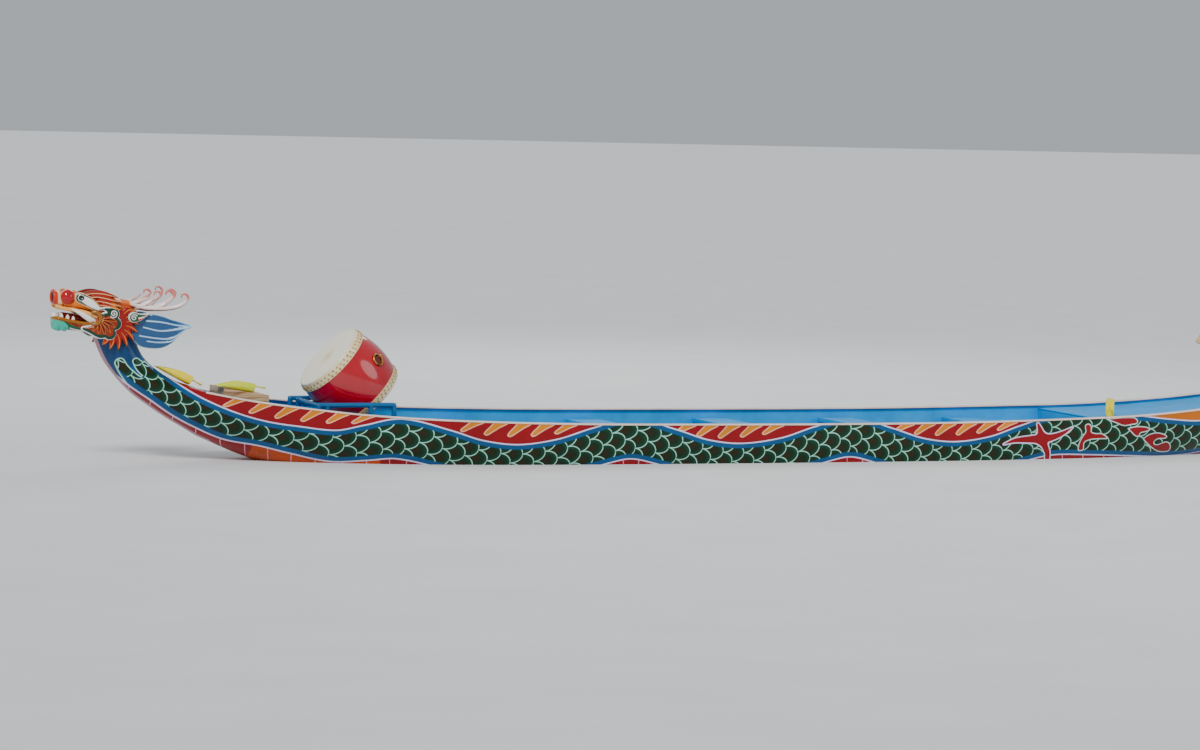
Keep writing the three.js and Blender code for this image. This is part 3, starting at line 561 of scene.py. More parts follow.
@dataclass
class Relief:
    """A carved plate standing in the X-Z plane: an outline with a swelling face."""

    outline: Outline  # signed distance of the outline, negative inside
    low: tuple[float, float]  # lowest x and z of the ground that is searched
    high: tuple[float, float]  # highest x and z
    front: Callable[[Array, Array, Array], Array]  # Y of the carved face at x, z and depth inside the outline
    back: Callable[[Array, Array], Array]  # Y of the hidden face at x and z
    pitch: float = 3 * MM  # size of the grid

    def flat(self) -> tuple[Array, list[tuple[int, ...]]]:
        """Lay a grid in the outline, its border moved onto the outline itself.

        Returns:
            The flat points, as x, z and depth, and the faces between them.
        """
        snap = 0.35  # share of the pitch within which a grid point moves onto the outline
        step = 0.1 * MM  # distance over which the outline's slope is taken
        x, z = np.meshgrid(
            *(np.arange(low, high + self.pitch, self.pitch) for low, high in zip(self.low, self.high)),
            indexing="ij",
        )
        d = self.outline(x, z)
        gx = (self.outline(x + step, z) - self.outline(x - step, z)) / (2 * step)
        gz = (self.outline(x, z + step) - self.outline(x, z - step)) / (2 * step)
        near = np.abs(d) < snap * self.pitch
        x, z = x - near * d * gx, z - near * d * gz
        d = np.where(near, 0, d)
        across = x.shape[1]
        flat = [list(p) for p in zip(x.ravel(), z.ravel(), d.ravel())]
        i, j = np.meshgrid(np.arange(x.shape[0] - 1), np.arange(across - 1), indexing="ij")
        a = (i * across + j).ravel()
        corners = np.concatenate([
            np.column_stack([a, a + across, a + across + 1]),
            np.column_stack([a, a + across + 1, a + 1]),
        ])
        depth = d.ravel()
        within = depth[corners] <= 0
        kept = [tuple(t) for t in corners[within.all(1) & (depth[corners].min(1) < 0)].tolist()]
        crossing: dict[tuple[int, int], int] = {}

        def cross(p: int, q: int) -> int:
            """Find where the outline crosses an edge.

            Args:
                p: The edge's point inside the outline.
                q: Its point outside.

            Returns:
                The number of the point at the crossing.
            """
            if depth[p] == 0:
                return p
            if (p, q) not in crossing:
                t = depth[p] / (depth[p] - depth[q])
                crossing[p, q] = len(flat)
                flat.append([a + t * (b - a) for a, b in zip(flat[p][:2], flat[q][:2])] + [0.0])
            return crossing[p, q]

        for triangle in corners[within.any(1) & ~within.all(1)].tolist():
            while not (depth[triangle[0]] <= 0 and depth[triangle[-1]] > 0):
                triangle = triangle[1:] + triangle[:1]
            a, b, c = triangle
            face = [a, b, cross(b, c), cross(a, c)] if depth[b] <= 0 else [a, cross(a, b), cross(a, c)]
            face = [p for n, p in enumerate(face) if p != face[n - 1]]
            if len(face) > 2:
                kept.append(tuple(face))
        used = sorted({p for face in kept for p in face})
        place = {p: n for n, p in enumerate(used)}
        return np.array([flat[p] for p in used]), [tuple(place[p] for p in f) for f in kept]

    def shape(self) -> Shape:
        """Carve the plate.

        Returns:
            Both faces and the wall round them.
        """
        flat, faces = self.flat()
        x, z, d = flat.T
        count = len(flat)
        front = np.column_stack([x, self.front(x, z, np.clip(-d, 0, None)), z])
        back = np.column_stack([x, self.back(x, z), z])
        edges = {(f[n - 1], f[n]) for f in faces for n in range(len(f))}
        wall = [(a, b, b + count, a + count) for a, b in edges if (b, a) not in edges]
        body = [f[::-1] for f in faces] + [tuple(p + count for p in f) for f in faces] + wall
        return Shape(np.concatenate([front, back]), body).faced_out()


def swell(depth: Array, height: float, reach: float) -> Array:
    """A rounded rise from an edge: its height at each depth, full after the reach."""
    t = np.clip(depth / reach, 0, 1)
    return height * np.sqrt(np.clip(1 - (1 - t) ** 2, 0, 1))


# Finishes


def linear(code: int) -> tuple[float, float, float, float]:
    """Turn an sRGB hex colour into a linear one."""
    parts = [((code >> shift) & 255) / 255 for shift in (16, 8, 0)]
    return (*(c / 12.92 if c <= 0.04045 else ((c + 0.055) / 1.055) ** 2.4 for c in parts), 1.0)


def add_node(tree: Tree, kind: str, inputs: dict | None = None, stops: Sequence[tuple[float, int]] = (),
             **settings: object) -> bpy.types.Node:
    """Add a node to a tree.

    Args:
        tree: The tree.
        kind: The node's type, without the words that all the tree's types start with.
        inputs: By name or number, a value, a socket, or a node whose first output is meant.
        stops: Places and sRGB hex colours, for a node with a colour ramp.
        settings: The node's own settings.

    Returns:
        The node.
    """
    node = tree.nodes.new({"SHADER": "ShaderNode", "GEOMETRY": "GeometryNode"}[tree.type] + kind)
    for name, value in settings.items():
        setattr(node, name, value)
    for n, (place, code) in enumerate(stops):
        element = node.color_ramp.elements[n] if n < 2 else node.color_ramp.elements.new(place)
        element.position, element.color = place, linear(code)
    for key, value in (inputs or {}).items():
        value = value.outputs[0] if isinstance(value, bpy.types.Node) else value
        if isinstance(value, Socket):
            tree.links.new(value, node.inputs[key])
        else:
            node.inputs[key].default_value = value
    return node


def worked_out(tree: Tree, values: dict, steps: Sequence[Sequence]) -> dict:
    """Add a chain of sums to a tree.

    Args:
        tree: The tree.
        values: Sockets and numbers that the steps may name.
        steps: Rows of the result's name, the operation and its terms, by name or as numbers.

    Returns:
        The values with the results added.
    """
    known = dict(values)
    for result, operation, *terms in steps:
        inputs = {n: known[t] if isinstance(t, str) else t for n, t in enumerate(terms)}
        known[result] = add_node(tree, "Math", inputs, operation=operation).outputs[0]
    return known


@dataclass(frozen=True)
class Layer:
    """One painted colour: it covers where a mark lies between two distances."""

    mark: str  # the attribute that is read
    low: float  # lowest covered distance in metres
    high: float  # highest covered distance
    colour: int  # its sRGB hex colour
    period: float = 0.0  # distance after which the mark repeats, or 0
    soft: float = 0.7 * MM  # half width of its edge
    within: str = ""  # a mark that is over zero where the colour may lie, or nothing

    def over(self, tree: Tree, below: Socket) -> Socket:
        """Lay the colour over another.

        Args:
            tree: The material's tree.
            below: The colour below.

        Returns:
            The new colour.
        """
        known = {"mark": add_node(tree, "Attribute", attribute_name=self.mark).outputs["Fac"]}
        half = self.period / 2
        steps = [("mark", "WRAP", "mark", half, -half)] if self.period else []
        steps += [
            ("up", "SUBTRACT", "mark", self.low - self.soft),
            ("rise", "DIVIDE", "up", 2 * self.soft),
            ("down", "SUBTRACT", self.high + self.soft, "mark"),
            ("fall", "DIVIDE", "down", 2 * self.soft),
            ("least", "MINIMUM", "rise", "fall"),
            ("cover", "MAXIMUM", "least", 0.0),
            ("share", "MINIMUM", "cover", 1.0),
        ]
        if self.within:
            known["room"] = add_node(tree, "Attribute", attribute_name=self.within).outputs["Fac"]
            steps += [("inside", "GREATER_THAN", "room", 0.0), ("share", "MULTIPLY", "share", "inside")]
        share = worked_out(tree, known, steps)["share"]
        mix = add_node(tree, "Mix", {0: share, 6: below, 7: linear(self.colour)}, data_type="RGBA")
        return mix.outputs[2]


@dataclass(frozen=True)
class Coating:
    """What every finish has."""

    name: str  # what the finish is

    def surface(self, tree: Tree, place: Socket) -> dict[str, object]:
        """Work out the look of the finish; each kind of finish has its own.

        Args:
            tree: The material's tree.
            place: Object coordinates.

        Returns:
            The shader's inputs by name.
        """
        raise NotImplementedError

    def made(self) -> bpy.types.Material:
        """Build the material.

        Returns:
            The material under the finish's name.
        """
        material = bpy.data.materials.new(self.name)
        material.use_nodes = True
        tree = material.node_tree
        tree.nodes.clear()
        place = add_node(tree, "TexCoord").outputs["Object"]
        shader = add_node(tree, "BsdfPrincipled", self.surface(tree, place))
        add_node(tree, "OutputMaterial", {"Surface": shader})
        return material


@dataclass(frozen=True)
class Enamel(Coating):
    """Gloss boat enamel laid by brush over glass fibre or carved wood.

    It gives the eye saturated flat colours under a clear wet shine, with faint brush marks
    and slow changes of tone where the coat is thin.
    """

    colour: int  # its sRGB hex colour
    layers: tuple[Layer, ...] = ()  # painted figures over it, the first lowest
    scales: bool = False  # true where the dragon's scales are painted below the layers
    gloss: float = 0.3  # roughness of the coat
    coat: float = 0.35  # strength of the clear coat
    brush_mm: float = 6.0  # width of a brush mark
    tone: float = 0.12  # how far the colour wanders
    shine: float = 0.35  # strength of the reflection under the clear coat

    def surface(self, tree: Tree, place: Socket) -> dict[str, object]:
        """Work out the coat's tone, gloss and brush marks, and its painted figures.

        Args:
            tree: The material's tree.
            place: Object coordinates.

        Returns:
            The shader's inputs by name.
        """
        colour = add_node(tree, "RGB").outputs[0]
        colour.default_value = linear(self.colour)
        if self.scales:
            colour = scale_pattern(tree)
        for layer in self.layers:
            colour = layer.over(tree, colour)
        slow = add_node(tree, "TexNoise", {"Vector": place, "Scale": 7.0, "Detail": 5.0})
        tone, rough = (
            add_node(tree, "MapRange", {0: slow, 1: 0.3, 2: 0.7, 3: low, 4: high})
            for low, high in ((1 - self.tone, 1 + self.tone), (self.gloss * 0.75, self.gloss * 1.35))
        )
        shade = add_node(tree, "HueSaturation", {"Saturation": 1.15, "Value": tone, "Color": colour})
        stretch = add_node(tree, "Mapping", {"Vector": place, "Scale": (0.25, 1.0, 1.0)})
        brush = add_node(tree, "TexNoise", {"Vector": stretch, "Scale": 1000 / self.brush_mm, "Detail": 2.0})
        bump = add_node(tree, "Bump", {"Height": brush, "Strength": 0.18, "Distance": 0.4 * MM})
        return {
            "Base Color": shade, "Roughness": rough, "Normal": bump, "IOR": 1.5,
            "Specular IOR Level": self.shine, "Coat Weight": self.coat, "Coat Roughness": 0.06,
        }


def scale_pattern(tree: Tree) -> Socket:
    """Paint overlapping scales: dark green with a brown heart and a mint line round each.

    Columns of touching discs follow each other towards the stern, each hiding half of the
    next. The marks scale_x and scale_y count columns along the body and rows across it.

    Args:
        tree: The material's tree.

    Returns:
        The colour.
    """
    marks = {
        name: add_node(tree, "Attribute", attribute_name=name).outputs["Fac"]
        for name in ("scale_x", "scale_y")
    }
    steps = [
        ("column", "FLOOR", "scale_x"), ("f", "SUBTRACT", "scale_x", "column"),
        ("odd", "WRAP", "column", 2.0, 0.0), ("row", "ADD", "scale_y", "odd"),
        ("g", "WRAP", "row", 1.0, -1.0), ("ff", "MULTIPLY", "f", "f"), ("gg", "MULTIPLY", "g", "g"),
        ("square", "ADD", "ff", "gg"), ("r", "SQRT", "square"), ("edge", "SUBTRACT", "r", 1.0),
        ("line", "ABSOLUTE", "edge"),
        # Across the body a disc is narrower than along it, so the line is drawn by true width.
        ("fx", "DIVIDE", "f", PITCH_ALONG / 2 * 1000), ("gx", "DIVIDE", "g", PITCH_ACROSS * 1000),
        ("fx2", "MULTIPLY", "fx", "fx"), ("gx2", "MULTIPLY", "gx", "gx"),
        ("slopes", "ADD", "fx2", "gx2"), ("slope", "SQRT", "slopes"), ("steep", "DIVIDE", "slope", "r"),
        ("line_mm", "DIVIDE", "line", "steep"), ("ink", "SUBTRACT", SCALE_LINE / MM, "line_mm"),
        ("ink_up", "MAXIMUM", "ink", 0.0), ("share", "MINIMUM", "ink_up", 1.0),
        ("behind_f", "SUBTRACT", 1.0, "f"), ("size_g", "ABSOLUTE", "g"),
        ("behind_g", "SUBTRACT", 1.0, "size_g"), ("bf", "MULTIPLY", "behind_f", "behind_f"),
        ("bg", "MULTIPLY", "behind_g", "behind_g"), ("behind", "ADD", "bf", "bg"),
        ("behind_r", "SQRT", "behind"), ("owned", "LESS_THAN", "edge", 0.0),
    ]
    values = worked_out(tree, marks, steps)
    reach = add_node(tree, "Mix", {0: values["owned"], 2: values["behind_r"], 3: values["r"]})
    fill = add_node(tree, "ValToRGB", {"Fac": reach},
                    stops=((0.1, 0x261C08), (0.55, 0x04260F), (0.95, 0x0A3E2C)))
    mix = add_node(tree, "Mix", {0: values["share"], 6: fill, 7: linear(MINT)}, data_type="RGBA")
    return mix.outputs[2]


def dressed(piece: bpy.types.Object, finish: "Finish", node: str = "",
            body: Body = Body.BOAT) -> None:
    """Finish a piece.

    Args:
        piece: The piece.
        finish: What it is coated with.
        node: The CAD node it stands for, or nothing.
        body: The body it rides on.
    """
    piece.data.materials.clear()
    piece.data.materials.append(finish.material)
    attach(piece, body.value)
    if node:
        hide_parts(node)
    log.info("%s: %d faces on %s", piece.name, len(piece.data.polygons), body.value)


# Painted body: one scaled dragon from neck to tail, waving along the hull

PITCH_ALONG = 142 * MM  # from one scale to the next in a row, along the body
PITCH_ACROSS = 53 * MM  # between rows
SCALE_LINE = 3.4 * MM  # half width of the mint line
BAND = 30 * MM  # blue band between the scales and the body's edge line
EDGE_LINE = 4 * MM  # half width of the lilac-white edge line

# x, height and half height of the painted body in mm, from the neck's top to the tail's tip
BODY_LINE = mm(
    (-3990, 860, 115), (-3965, 720, 112), (-3900, 600, 105), (-3810, 505, 92), (-3705, 425, 84),
    (-3588, 344, 82), (-3462, 277, 82), (-3297, 209, 83), (-3120, 170, 74), (-2950, 138, 82),
    (-2720, 105, 95), (-2540, 128, 108), (-2360, 152, 118), (-2100, 96, 113), (-1900, 38, 111),
    (-1660, 12, 110), (-1400, 45, 111), (-1180, 106, 116), (-960, 152, 118), (-720, 100, 113),
    (-500, 36, 111), (-260, 12, 110), (20, 45, 111), (240, 106, 116), (460, 152, 118),
    (700, 96, 113), (920, 34, 111), (1160, 10, 110), (1420, 40, 111), (1640, 102, 116),
    (1850, 148, 122), (2150, 150, 128), (2450, 136, 128), (2700, 118, 120), (2950, 115, 109),
    (3200, 150, 106), (3450, 215, 104), (3700, 290, 100), (3900, 385, 92), (4020, 500, 82),
    (4100, 640, 70), (4160, 780, 58), (4210, 920, 48),
)
SHRINK_FROM, SHRINK_OVER = 3.0, 0.7  # distance from midships where the scales begin to shrink, and how far
END_PITCH = 0.88  # share of their size that is left at both ends


@dataclass
class DragonBody:
    """The painted body: a mid line with a half height, and what is painted beside it."""

    steps: int = 1400  # points on the mid line

    def __post_init__(self) -> None:
        """Lay out the mid line."""
        path = smooth_path(BODY_LINE, self.steps, places=2)
        self.x, self.z, self.half = path.T
        run = np.hypot(np.gradient(self.x), np.gradient(self.z))
        self.turn = np.column_stack([np.gradient(self.x), np.gradient(self.z)]) / run[:, None]
        self.arc = np.cumsum(run)
        away = np.clip((np.abs(self.x) - SHRINK_FROM) / SHRINK_OVER, 0, 1)
        self.shrink = 1 - (1 - END_PITCH) * away
        self.columns = np.cumsum(run / (PITCH_ALONG / 2 * self.shrink))

    def marks(self, x: Array, z: Array) -> dict[str, Array]:
        """Measure points against the body.

        Args:
            x: Places along the boat.
            z: Heights.

        Returns:
            scale_x and scale_y count scales, body is the depth inside the edge line, above
            and below are heights over and under it, and arc is the place along it.
        """
        here = np.empty(len(x), int)
        chunk = 4000
        for start in range(0, len(x), chunk):
            part = slice(start, start + chunk)
            gap = (x[part, None] - self.x) ** 2 + (z[part, None] - self.z) ** 2
            here[part] = gap.argmin(1)
        dx, dz = x - self.x[here], z - self.z[here]
        tx, tz = self.turn[here].T
        ahead, offset = dx * tx + dz * tz, dz * tx - dx * tz
        half = self.half[here]
        pitch = PITCH_ALONG / 2 * self.shrink[here]
        return {
            "scale_x": self.columns[here] + ahead / pitch,
            "scale_y": offset / (PITCH_ACROSS * self.shrink[here]),
            "body": half - np.abs(offset),
            "above": offset - half,
            "below": -half - offset,
            "arc": self.arc[here] + ahead,
        }


# Flames that hang from the gunwale in each red panel; columns: centre x, reach, number of tongues
FLAME_ROWS = (
    (-2.93, 0.062, 6),
    (-1.66, 0.070, 5),
    (-0.345, 0.070, 5),
    (1.16, 0.066, 6),
)
FLAME_PITCH = 142 * MM  # from one tongue to the next
# One tongue, hooked towards the bow; columns: x astern and z down from the gunwale, in shares of the pitch
TONGUE = (
    (0.46, 0.30), (0.40, 0.0), (0.25, -0.17), (0.08, -0.34), (0.0, -0.46), (0.06, -0.54),
    (0.17, -0.52), (0.36, -0.39), (0.66, -0.19), (1.0, -0.02), (1.0, 0.30),
)

# Claws: strokes of x, z and radius in mm
CLAWS = (
    mm((1732, 222, 10), (1752, 175, 22), (1765, 130, 32)),
    mm((1500, 100, 6), (1575, 122, 16), (1680, 128, 24), (1765, 130, 32)),
    mm((1980, 197, 6), (1915, 163, 16), (1840, 138, 24), (1765, 130, 32)),
    mm((1765, 130, 30), (1795, 85, 24), (1825, 35, 20), (1840, -30, 20)),
)
# Closed red figures at the stern, as x and z in mm: a second claw, a paw, a drop and a hooked curl
STERN_FIGURES = (
    mm((2045, 50), (2043, 95), (2064, 146), (2081, 168), (2074, 207), (2097, 218),
       (2118, 201), (2121, 167), (2155, 157), (2201, 155), (2245, 126), (2186, 124),
       (2115, 119), (2078, 100), (2081, 55)),
    mm((2226, 246), (2425, 252), (2460, 234), (2455, 215), (2415, 210), (2362, 203), (2307, 220)),
    mm((2391, 185), (2457, 195), (2525, 191), (2562, 176), (2530, 163), (2490, 155),
       (2481, 133), (2452, 139), (2421, 162)),
    mm((2519, 117), (2561, 143), (2614, 152), (2665, 145), (2704, 127), (2690, 116),
       (2638, 115), (2610, 96), (2619, 79), (2651, 76), (2683, 87), (2716, 92),
       (2746, 74), (2761, 50), (2755, 30), (2673, 31), (2601, 61), (2554, 91)),
)


def closed_figures(figures: Sequence[Table]) -> Outline:
    """An outline of several closed figures with rounded corners."""
    fine = [smooth_path([*figure, figure[0]], 6 * len(figure), places=2)[:-1] for figure in figures]
    return lambda x, z: np.stack([polygon_distance(x, z, shape) for shape in fine]).min(0)


def flames(x: Array, z: Array) -> Array:
    """Measure points against every hanging tongue of flame.

    Args:
        x: Places along the boat.
        z: Heights.

    Returns:
        The signed distance, negative inside a tongue.
    """
    best = np.full(np.shape(x), FAR)
    for centre, reach, count in FLAME_ROWS:
        for n in range(count):
            place = centre + (n - count / 2) * FLAME_PITCH
            near = np.abs(x - place - FLAME_PITCH / 2) < 1.5 * FLAME_PITCH
            if not near.any():
                continue
            fade = 1 - 0.45 * abs((n + 0.5) / count * 2 - 1) ** 2  # the outer tongues are shorter
            sheer = follow(STATIONS, np.array([place + FLAME_PITCH / 2]))[0, 2]
            size = (FLAME_PITCH, 2 * reach * fade)
            corners = [(place + a * size[0], sheer + b * size[1]) for a, b in TONGUE]
            best[near] = np.minimum(best[near], polygon_distance(x[near], z[near], corners))
    return best


def strokes(figures: Sequence[Table], fillet: float) -> Outline:
    """Join several strokes with a fillet.

    Args:
        figures: Rows of x, z and radius for each stroke.
        fillet: The fillet's width.

    Returns:
        The outline of the joined strokes.
    """
    fine = [stroke(figure) for figure in figures]
    return lambda x, z: reduce(
        lambda a, b: blended(a, b, fillet), (chain_distance(x, z, chain) for chain in fine))


# Where the scales end on the neck: two rounded fingers with a hooked gap between them, in mm
FINGERS = (
    mm((-3936, 570, 26), (-3915, 535, 28), (-3875, 490, 34), (-3820, 440, 45)),
    mm((-3842, 570, 26), (-3812, 540, 32), (-3765, 500, 42), (-3700, 440, 50)),
)
FINGER_GAP = mm((-3888, 620, 16), (-3874, 565, 13), (-3845, 520, 9), (-3800, 484, 4))
FIELD_FROM = 0.33  # place along the painted body where the scales fill it


def neck_field(x: Array, z: Array, arc: Array, body: Array) -> Array:
    """Measure the field of scales on the neck.

    Args:
        x: Places along the boat.
        z: Heights.
        arc: Places along the painted body.
        body: Depths inside its edge line.

    Returns:
        The signed distance, negative inside the field.
    """
    fingers = np.minimum(*(chain_distance(x, z, stroke(f)) for f in FINGERS))
    field_edge = blended(fingers, np.maximum(FIELD_FROM + 0.06 - arc, BAND - body), 0.03)
    field_edge = np.maximum(field_edge, -chain_distance(x, z, stroke(FINGER_GAP)))
    return np.where(arc > FIELD_FROM + 0.25, -FAR / 10, field_edge)


SLATE_TO = 0.34  # place along the painted body where the neck's slate-blue ground ends
WARM_PANEL = (-3.16, -2.45)  # where the orange-red ground below the body begins and ends
ORANGE_FROM = 2.46  # where the orange panel above the body begins
SPINE = (42 * MM, 12 * MM)  # half width and half height of the slate strip on the body's back


def painted(shape: Shape, dragon: DragonBody, inside: Array | None = None) -> Shape:
    """Store every figure of the boat's outside on a shape's points.

    Args:
        shape: The shape.
        dragon: The painted body.
        inside: 1 at the points of the hull's inner face and 0 elsewhere, or nothing.

    Returns:
        The same shape.
    """
    x, y, z = shape.points.T
    marks = dragon.marks(x, z)
    marks["field"] = neck_field(x, z, marks["arc"], marks["body"])
    marks["slate"] = np.minimum(marks["field"], SLATE_TO - marks["arc"])
    marks["blaze"] = np.maximum(flames(x, z), EDGE_LINE - marks["above"])
    marks["claw"] = strokes(CLAWS, 0.02)(x, z)
    marks["curl"] = closed_figures(STERN_FIGURES)(x, z)
    marks["finger"] = np.where(marks["arc"] > FIELD_FROM + 0.10, FAR, marks["field"])
    marks["warm"] = np.minimum(marks["below"] - EDGE_LINE, np.minimum(x - WARM_PANEL[0], WARM_PANEL[1] - x))
    marks["orange_panel"] = np.minimum(marks["above"] - EDGE_LINE, x - ORANGE_FROM)
    under = (z > -0.02) & (marks["below"] > marks["above"])
    marks["keel_strip"] = np.where(under, np.abs(y) + np.clip(0.12 - z, 0, 1), FAR)
    across = np.where(x > STERN, -FAR, np.abs(y) - SPINE[0])
    marks["spine"] = np.maximum(across, np.abs(marks["above"]) - SPINE[1])
    marks["belly"] = marks["arc"] + 0.5 * np.abs(y)
    marks["bottom"] = -z
    marks["inside"] = np.zeros(len(x)) if inside is None else inside
    shape.marks.update(marks)
    return shape


RED, FLAME_GOLD, PEACH, LILAC = 0x8A0410, 0xCF7C0A, 0xF2B8A0, 0xDCD6F0
TEAL_BLUE, SLATE_BLUE, SKY, MINT = 0x0A4C7C, 0x2A4569, 0x0496DC, 0xA6D8C4

DRAGON_LAYERS = (
    Layer("field", 0.0, FAR, TEAL_BLUE),
    Layer("body", -FAR, BAND, TEAL_BLUE),
    Layer("slate", 0.0, FAR, SLATE_BLUE, soft=3 * MM),
    Layer("finger", -3.2 * MM, 3.2 * MM, MINT),
    Layer("above", EDGE_LINE, FAR, RED),
    Layer("orange_panel", 0.0, FAR, 0xBE6408),
    Layer("blaze", -FAR, 0.0, FLAME_GOLD),
    Layer("blaze", -3.5 * MM, 3 * MM, PEACH),
    Layer("below", EDGE_LINE, FAR, RED),
    Layer("warm", 0.0, FAR, 0xB2440E, soft=4 * MM),
    Layer("belly", -3 * MM, 3 * MM, 0xD9A7B4, period=150 * MM, within="below"),
    Layer("body", -EDGE_LINE, EDGE_LINE, LILAC),
    Layer("keel_strip", -FAR, 42 * MM, 0xA8808E),
    Layer("spine", -FAR, 0.0, SLATE_BLUE),
    Layer("claw", -FAR, 0.0, RED),
    Layer("claw", -3.5 * MM, 3.5 * MM, LILAC),
    Layer("curl", -FAR, 0.0, RED),
    Layer("curl", -3 * MM, 3 * MM, 0xC4DCD8),
    Layer("bottom", 30 * MM, FAR, 0x6A1210, soft=2 * MM),
    Layer("inside", 0.5, FAR, SKY, soft=0.2),
)


# Hull

# Columns: place along the boat, half beam, gunwale height, keel height and fullness.
STATIONS = (
    (-3.450, 0.185, 0.400, 0.140, 1.80),
    (-3.200, 0.262, 0.356, 0.035, 1.85),
    (-2.900, 0.352, 0.318, -0.065, 1.95),
    (-2.500, 0.440, 0.280, -0.145, 2.10),
    (-2.000, 0.515, 0.254, -0.192, 2.40),
    (-1.300, 0.560, 0.236, -0.214, 2.70),
    (-0.400, 0.578, 0.229, -0.222, 2.80),
    (0.500, 0.578, 0.227, -0.222, 2.80),
    (1.300, 0.562, 0.231, -0.214, 2.70),
    (2.000, 0.520, 0.244, -0.188, 2.40),
    (2.500, 0.470, 0.258, -0.148, 2.20),
    (3.000, 0.395, 0.293, -0.080, 2.00),
    (3.400, 0.305, 0.341, 0.010, 1.90),
    (3.750, 0.205, 0.406, 0.135, 1.80),
)
BOW, STERN = STATIONS[0][0], STATIONS[-1][0]
SEAM = 0.3 * MM


@dataclass
class Hull:
    """The open shell: a fine painted skin outside, sky-blue enamel inside."""

    dragon: DragonBody  # what is painted on it
    wall: float = 12 * MM  # thickness of the laminate
    lengths: int = 540  # lengths along the boat
    topside: int = 58  # points down a side to just below the waterline
    bilge: int = 14  # points from there to the keel
    lining: int = 12  # points down a side inside
    dip: float = 50 * MM  # how far below the waterline the fine paint reaches

    def half_ring(self, row: Array, inset: float, drops: Array) -> Array:
        """Draw one side of a section, from the gunwale down to the keel.

        Args:
            row: The station.
            inset: How far the side lies inside the outer skin.
            drops: Shares of the depth at which its points lie.

        Returns:
            Rows of y and z.
        """
        _, beam, sheer, keel, full = row
        deep = sheer - keel - inset
        y = (beam - inset) * np.clip(1 - drops**full, 0, 1) ** (1 / full)
        return np.column_stack([y, sheer - deep * drops])

    def section(self, row: Array) -> Array:
        """Draw the whole closed section of the shell.

        Args:
            row: The station.

        Returns:
            Rows of y and z.
        """
        _, _, sheer, keel, full = row
        split = min(max((sheer + self.dip) / (sheer - keel), 0.55), 0.9)
        turn = np.linspace(math.acos(split ** (full / 2)), 0, self.bilge + 1)[1:]
        drops = np.concatenate([np.linspace(0, split, self.topside), np.cos(turn) ** (2 / full)])
        outer = self.half_ring(row, 0, drops)
        turn = np.linspace(math.pi / 2, 0, self.lining + 1)
        inner = self.half_ring(row, self.wall, np.abs(np.cos(turn)) ** (2 / full))
        inner[0, 1] = outer[0, 1]
        flip = np.array([-1, 1])
        return np.concatenate([
            outer[:-1], outer[::-1] * flip, inner * flip, inner[:-1][::-1],
        ])

    def shape(self) -> Shape:
        """Loft the shell and paint its outside.

        Returns:
            The painted shell.
        """
        rows = follow(STATIONS, np.linspace(BOW, STERN, self.lengths))
        rings = [np.insert(self.section(row), 0, row[0], axis=1) for row in rows]
        outer = 2 * (self.topside + self.bilge) - 1
        inside = np.tile(np.where(np.arange(len(rings[0])) < outer, 0.0, 1.0), len(rings))
        return painted(loft(rings), self.dragon, inside)

    def build(self) -> None:
        """Make the shell."""
        dressed(self.shape().mesh("hull", 50), Finish.HULL, "hull_shell")


@dataclass
class Stem:
    """A rising end of the boat: oval rings between a belly and a back line."""

    name: str  # the piece's name
    node: str  # the node it stands for
    table: Table  # rows of belly x and z, back x and z, half width, belt and top squareness
    lengths: int = 110  # rings along it
    sides: int = 96  # points round it

    def shape(self) -> Shape:
        """Loft the rings.

        Returns:
            The closed stem.
        """
        middle = [((r[0] + r[2]) / 2, (r[1] + r[3]) / 2, *r) for r in self.table]
        rows = smooth_path(middle, self.lengths, places=2)[:, 2:]
        c, s = circle(self.sides)
        rings = []
        for low_x, low_z, high_x, high_z, half, belt, square in rows:
            power = np.where(s < 0, 2.0 - 0.2 * np.clip((square - 2.6) / 2.4, 0, 1), square)
            y = np.sign(c) * np.abs(c) ** (2 / power) * half
            rise = np.abs(s) ** (2 / power)
            place = np.where(s < 0, belt * (1 - rise), belt + (1 - belt) * rise)
            x, z = low_x + (high_x - low_x) * place, low_z + (high_z - low_z) * place
            rings.append(np.column_stack([x, y, z]))
        return loft(rings)

    def build(self, dragon: DragonBody) -> None:
        """Make the painted stem."""
        dressed(painted(self.shape(), dragon).mesh(self.name, 50), Finish.HULL, self.node)


NECK = (
    (-3.4503, 0.140, -3.4503, 0.410, 0.1855, 0.963, 5.0),
    (-3.545, 0.195, -3.515, 0.436, 0.168, 0.84, 4.0),
    (-3.644, 0.252, -3.598, 0.464, 0.149, 0.74, 3.2),
    (-3.745, 0.318, -3.672, 0.504, 0.134, 0.64, 2.7),
    (-3.848, 0.392, -3.735, 0.552, 0.119, 0.56, 2.4),
    (-3.945, 0.492, -3.785, 0.605, 0.108, 0.50, 2.4),
    (-4.018, 0.590, -3.812, 0.655, 0.102, 0.50, 2.4),
    (-4.082, 0.736, -3.842, 0.722, 0.100, 0.50, 2.4),
)
TAIL = (
    (3.7503, 0.135, 3.7503, 0.416, 0.2055, 0.964, 5.0),
    (3.880, 0.225, 3.835, 0.446, 0.162, 0.80, 3.6),
    (3.995, 0.330, 3.915, 0.496, 0.128, 0.66, 2.8),
    (4.090, 0.450, 3.980, 0.562, 0.098, 0.55, 2.4),
    (4.160, 0.590, 4.030, 0.655, 0.076, 0.50, 2.3),
    (4.210, 0.740, 4.085, 0.765, 0.058, 0.50, 2.3),
    (4.240, 0.870, 4.150, 0.872, 0.044, 0.50, 2.3),
)


# Geometry Nodes: what follows a path or repeats on it


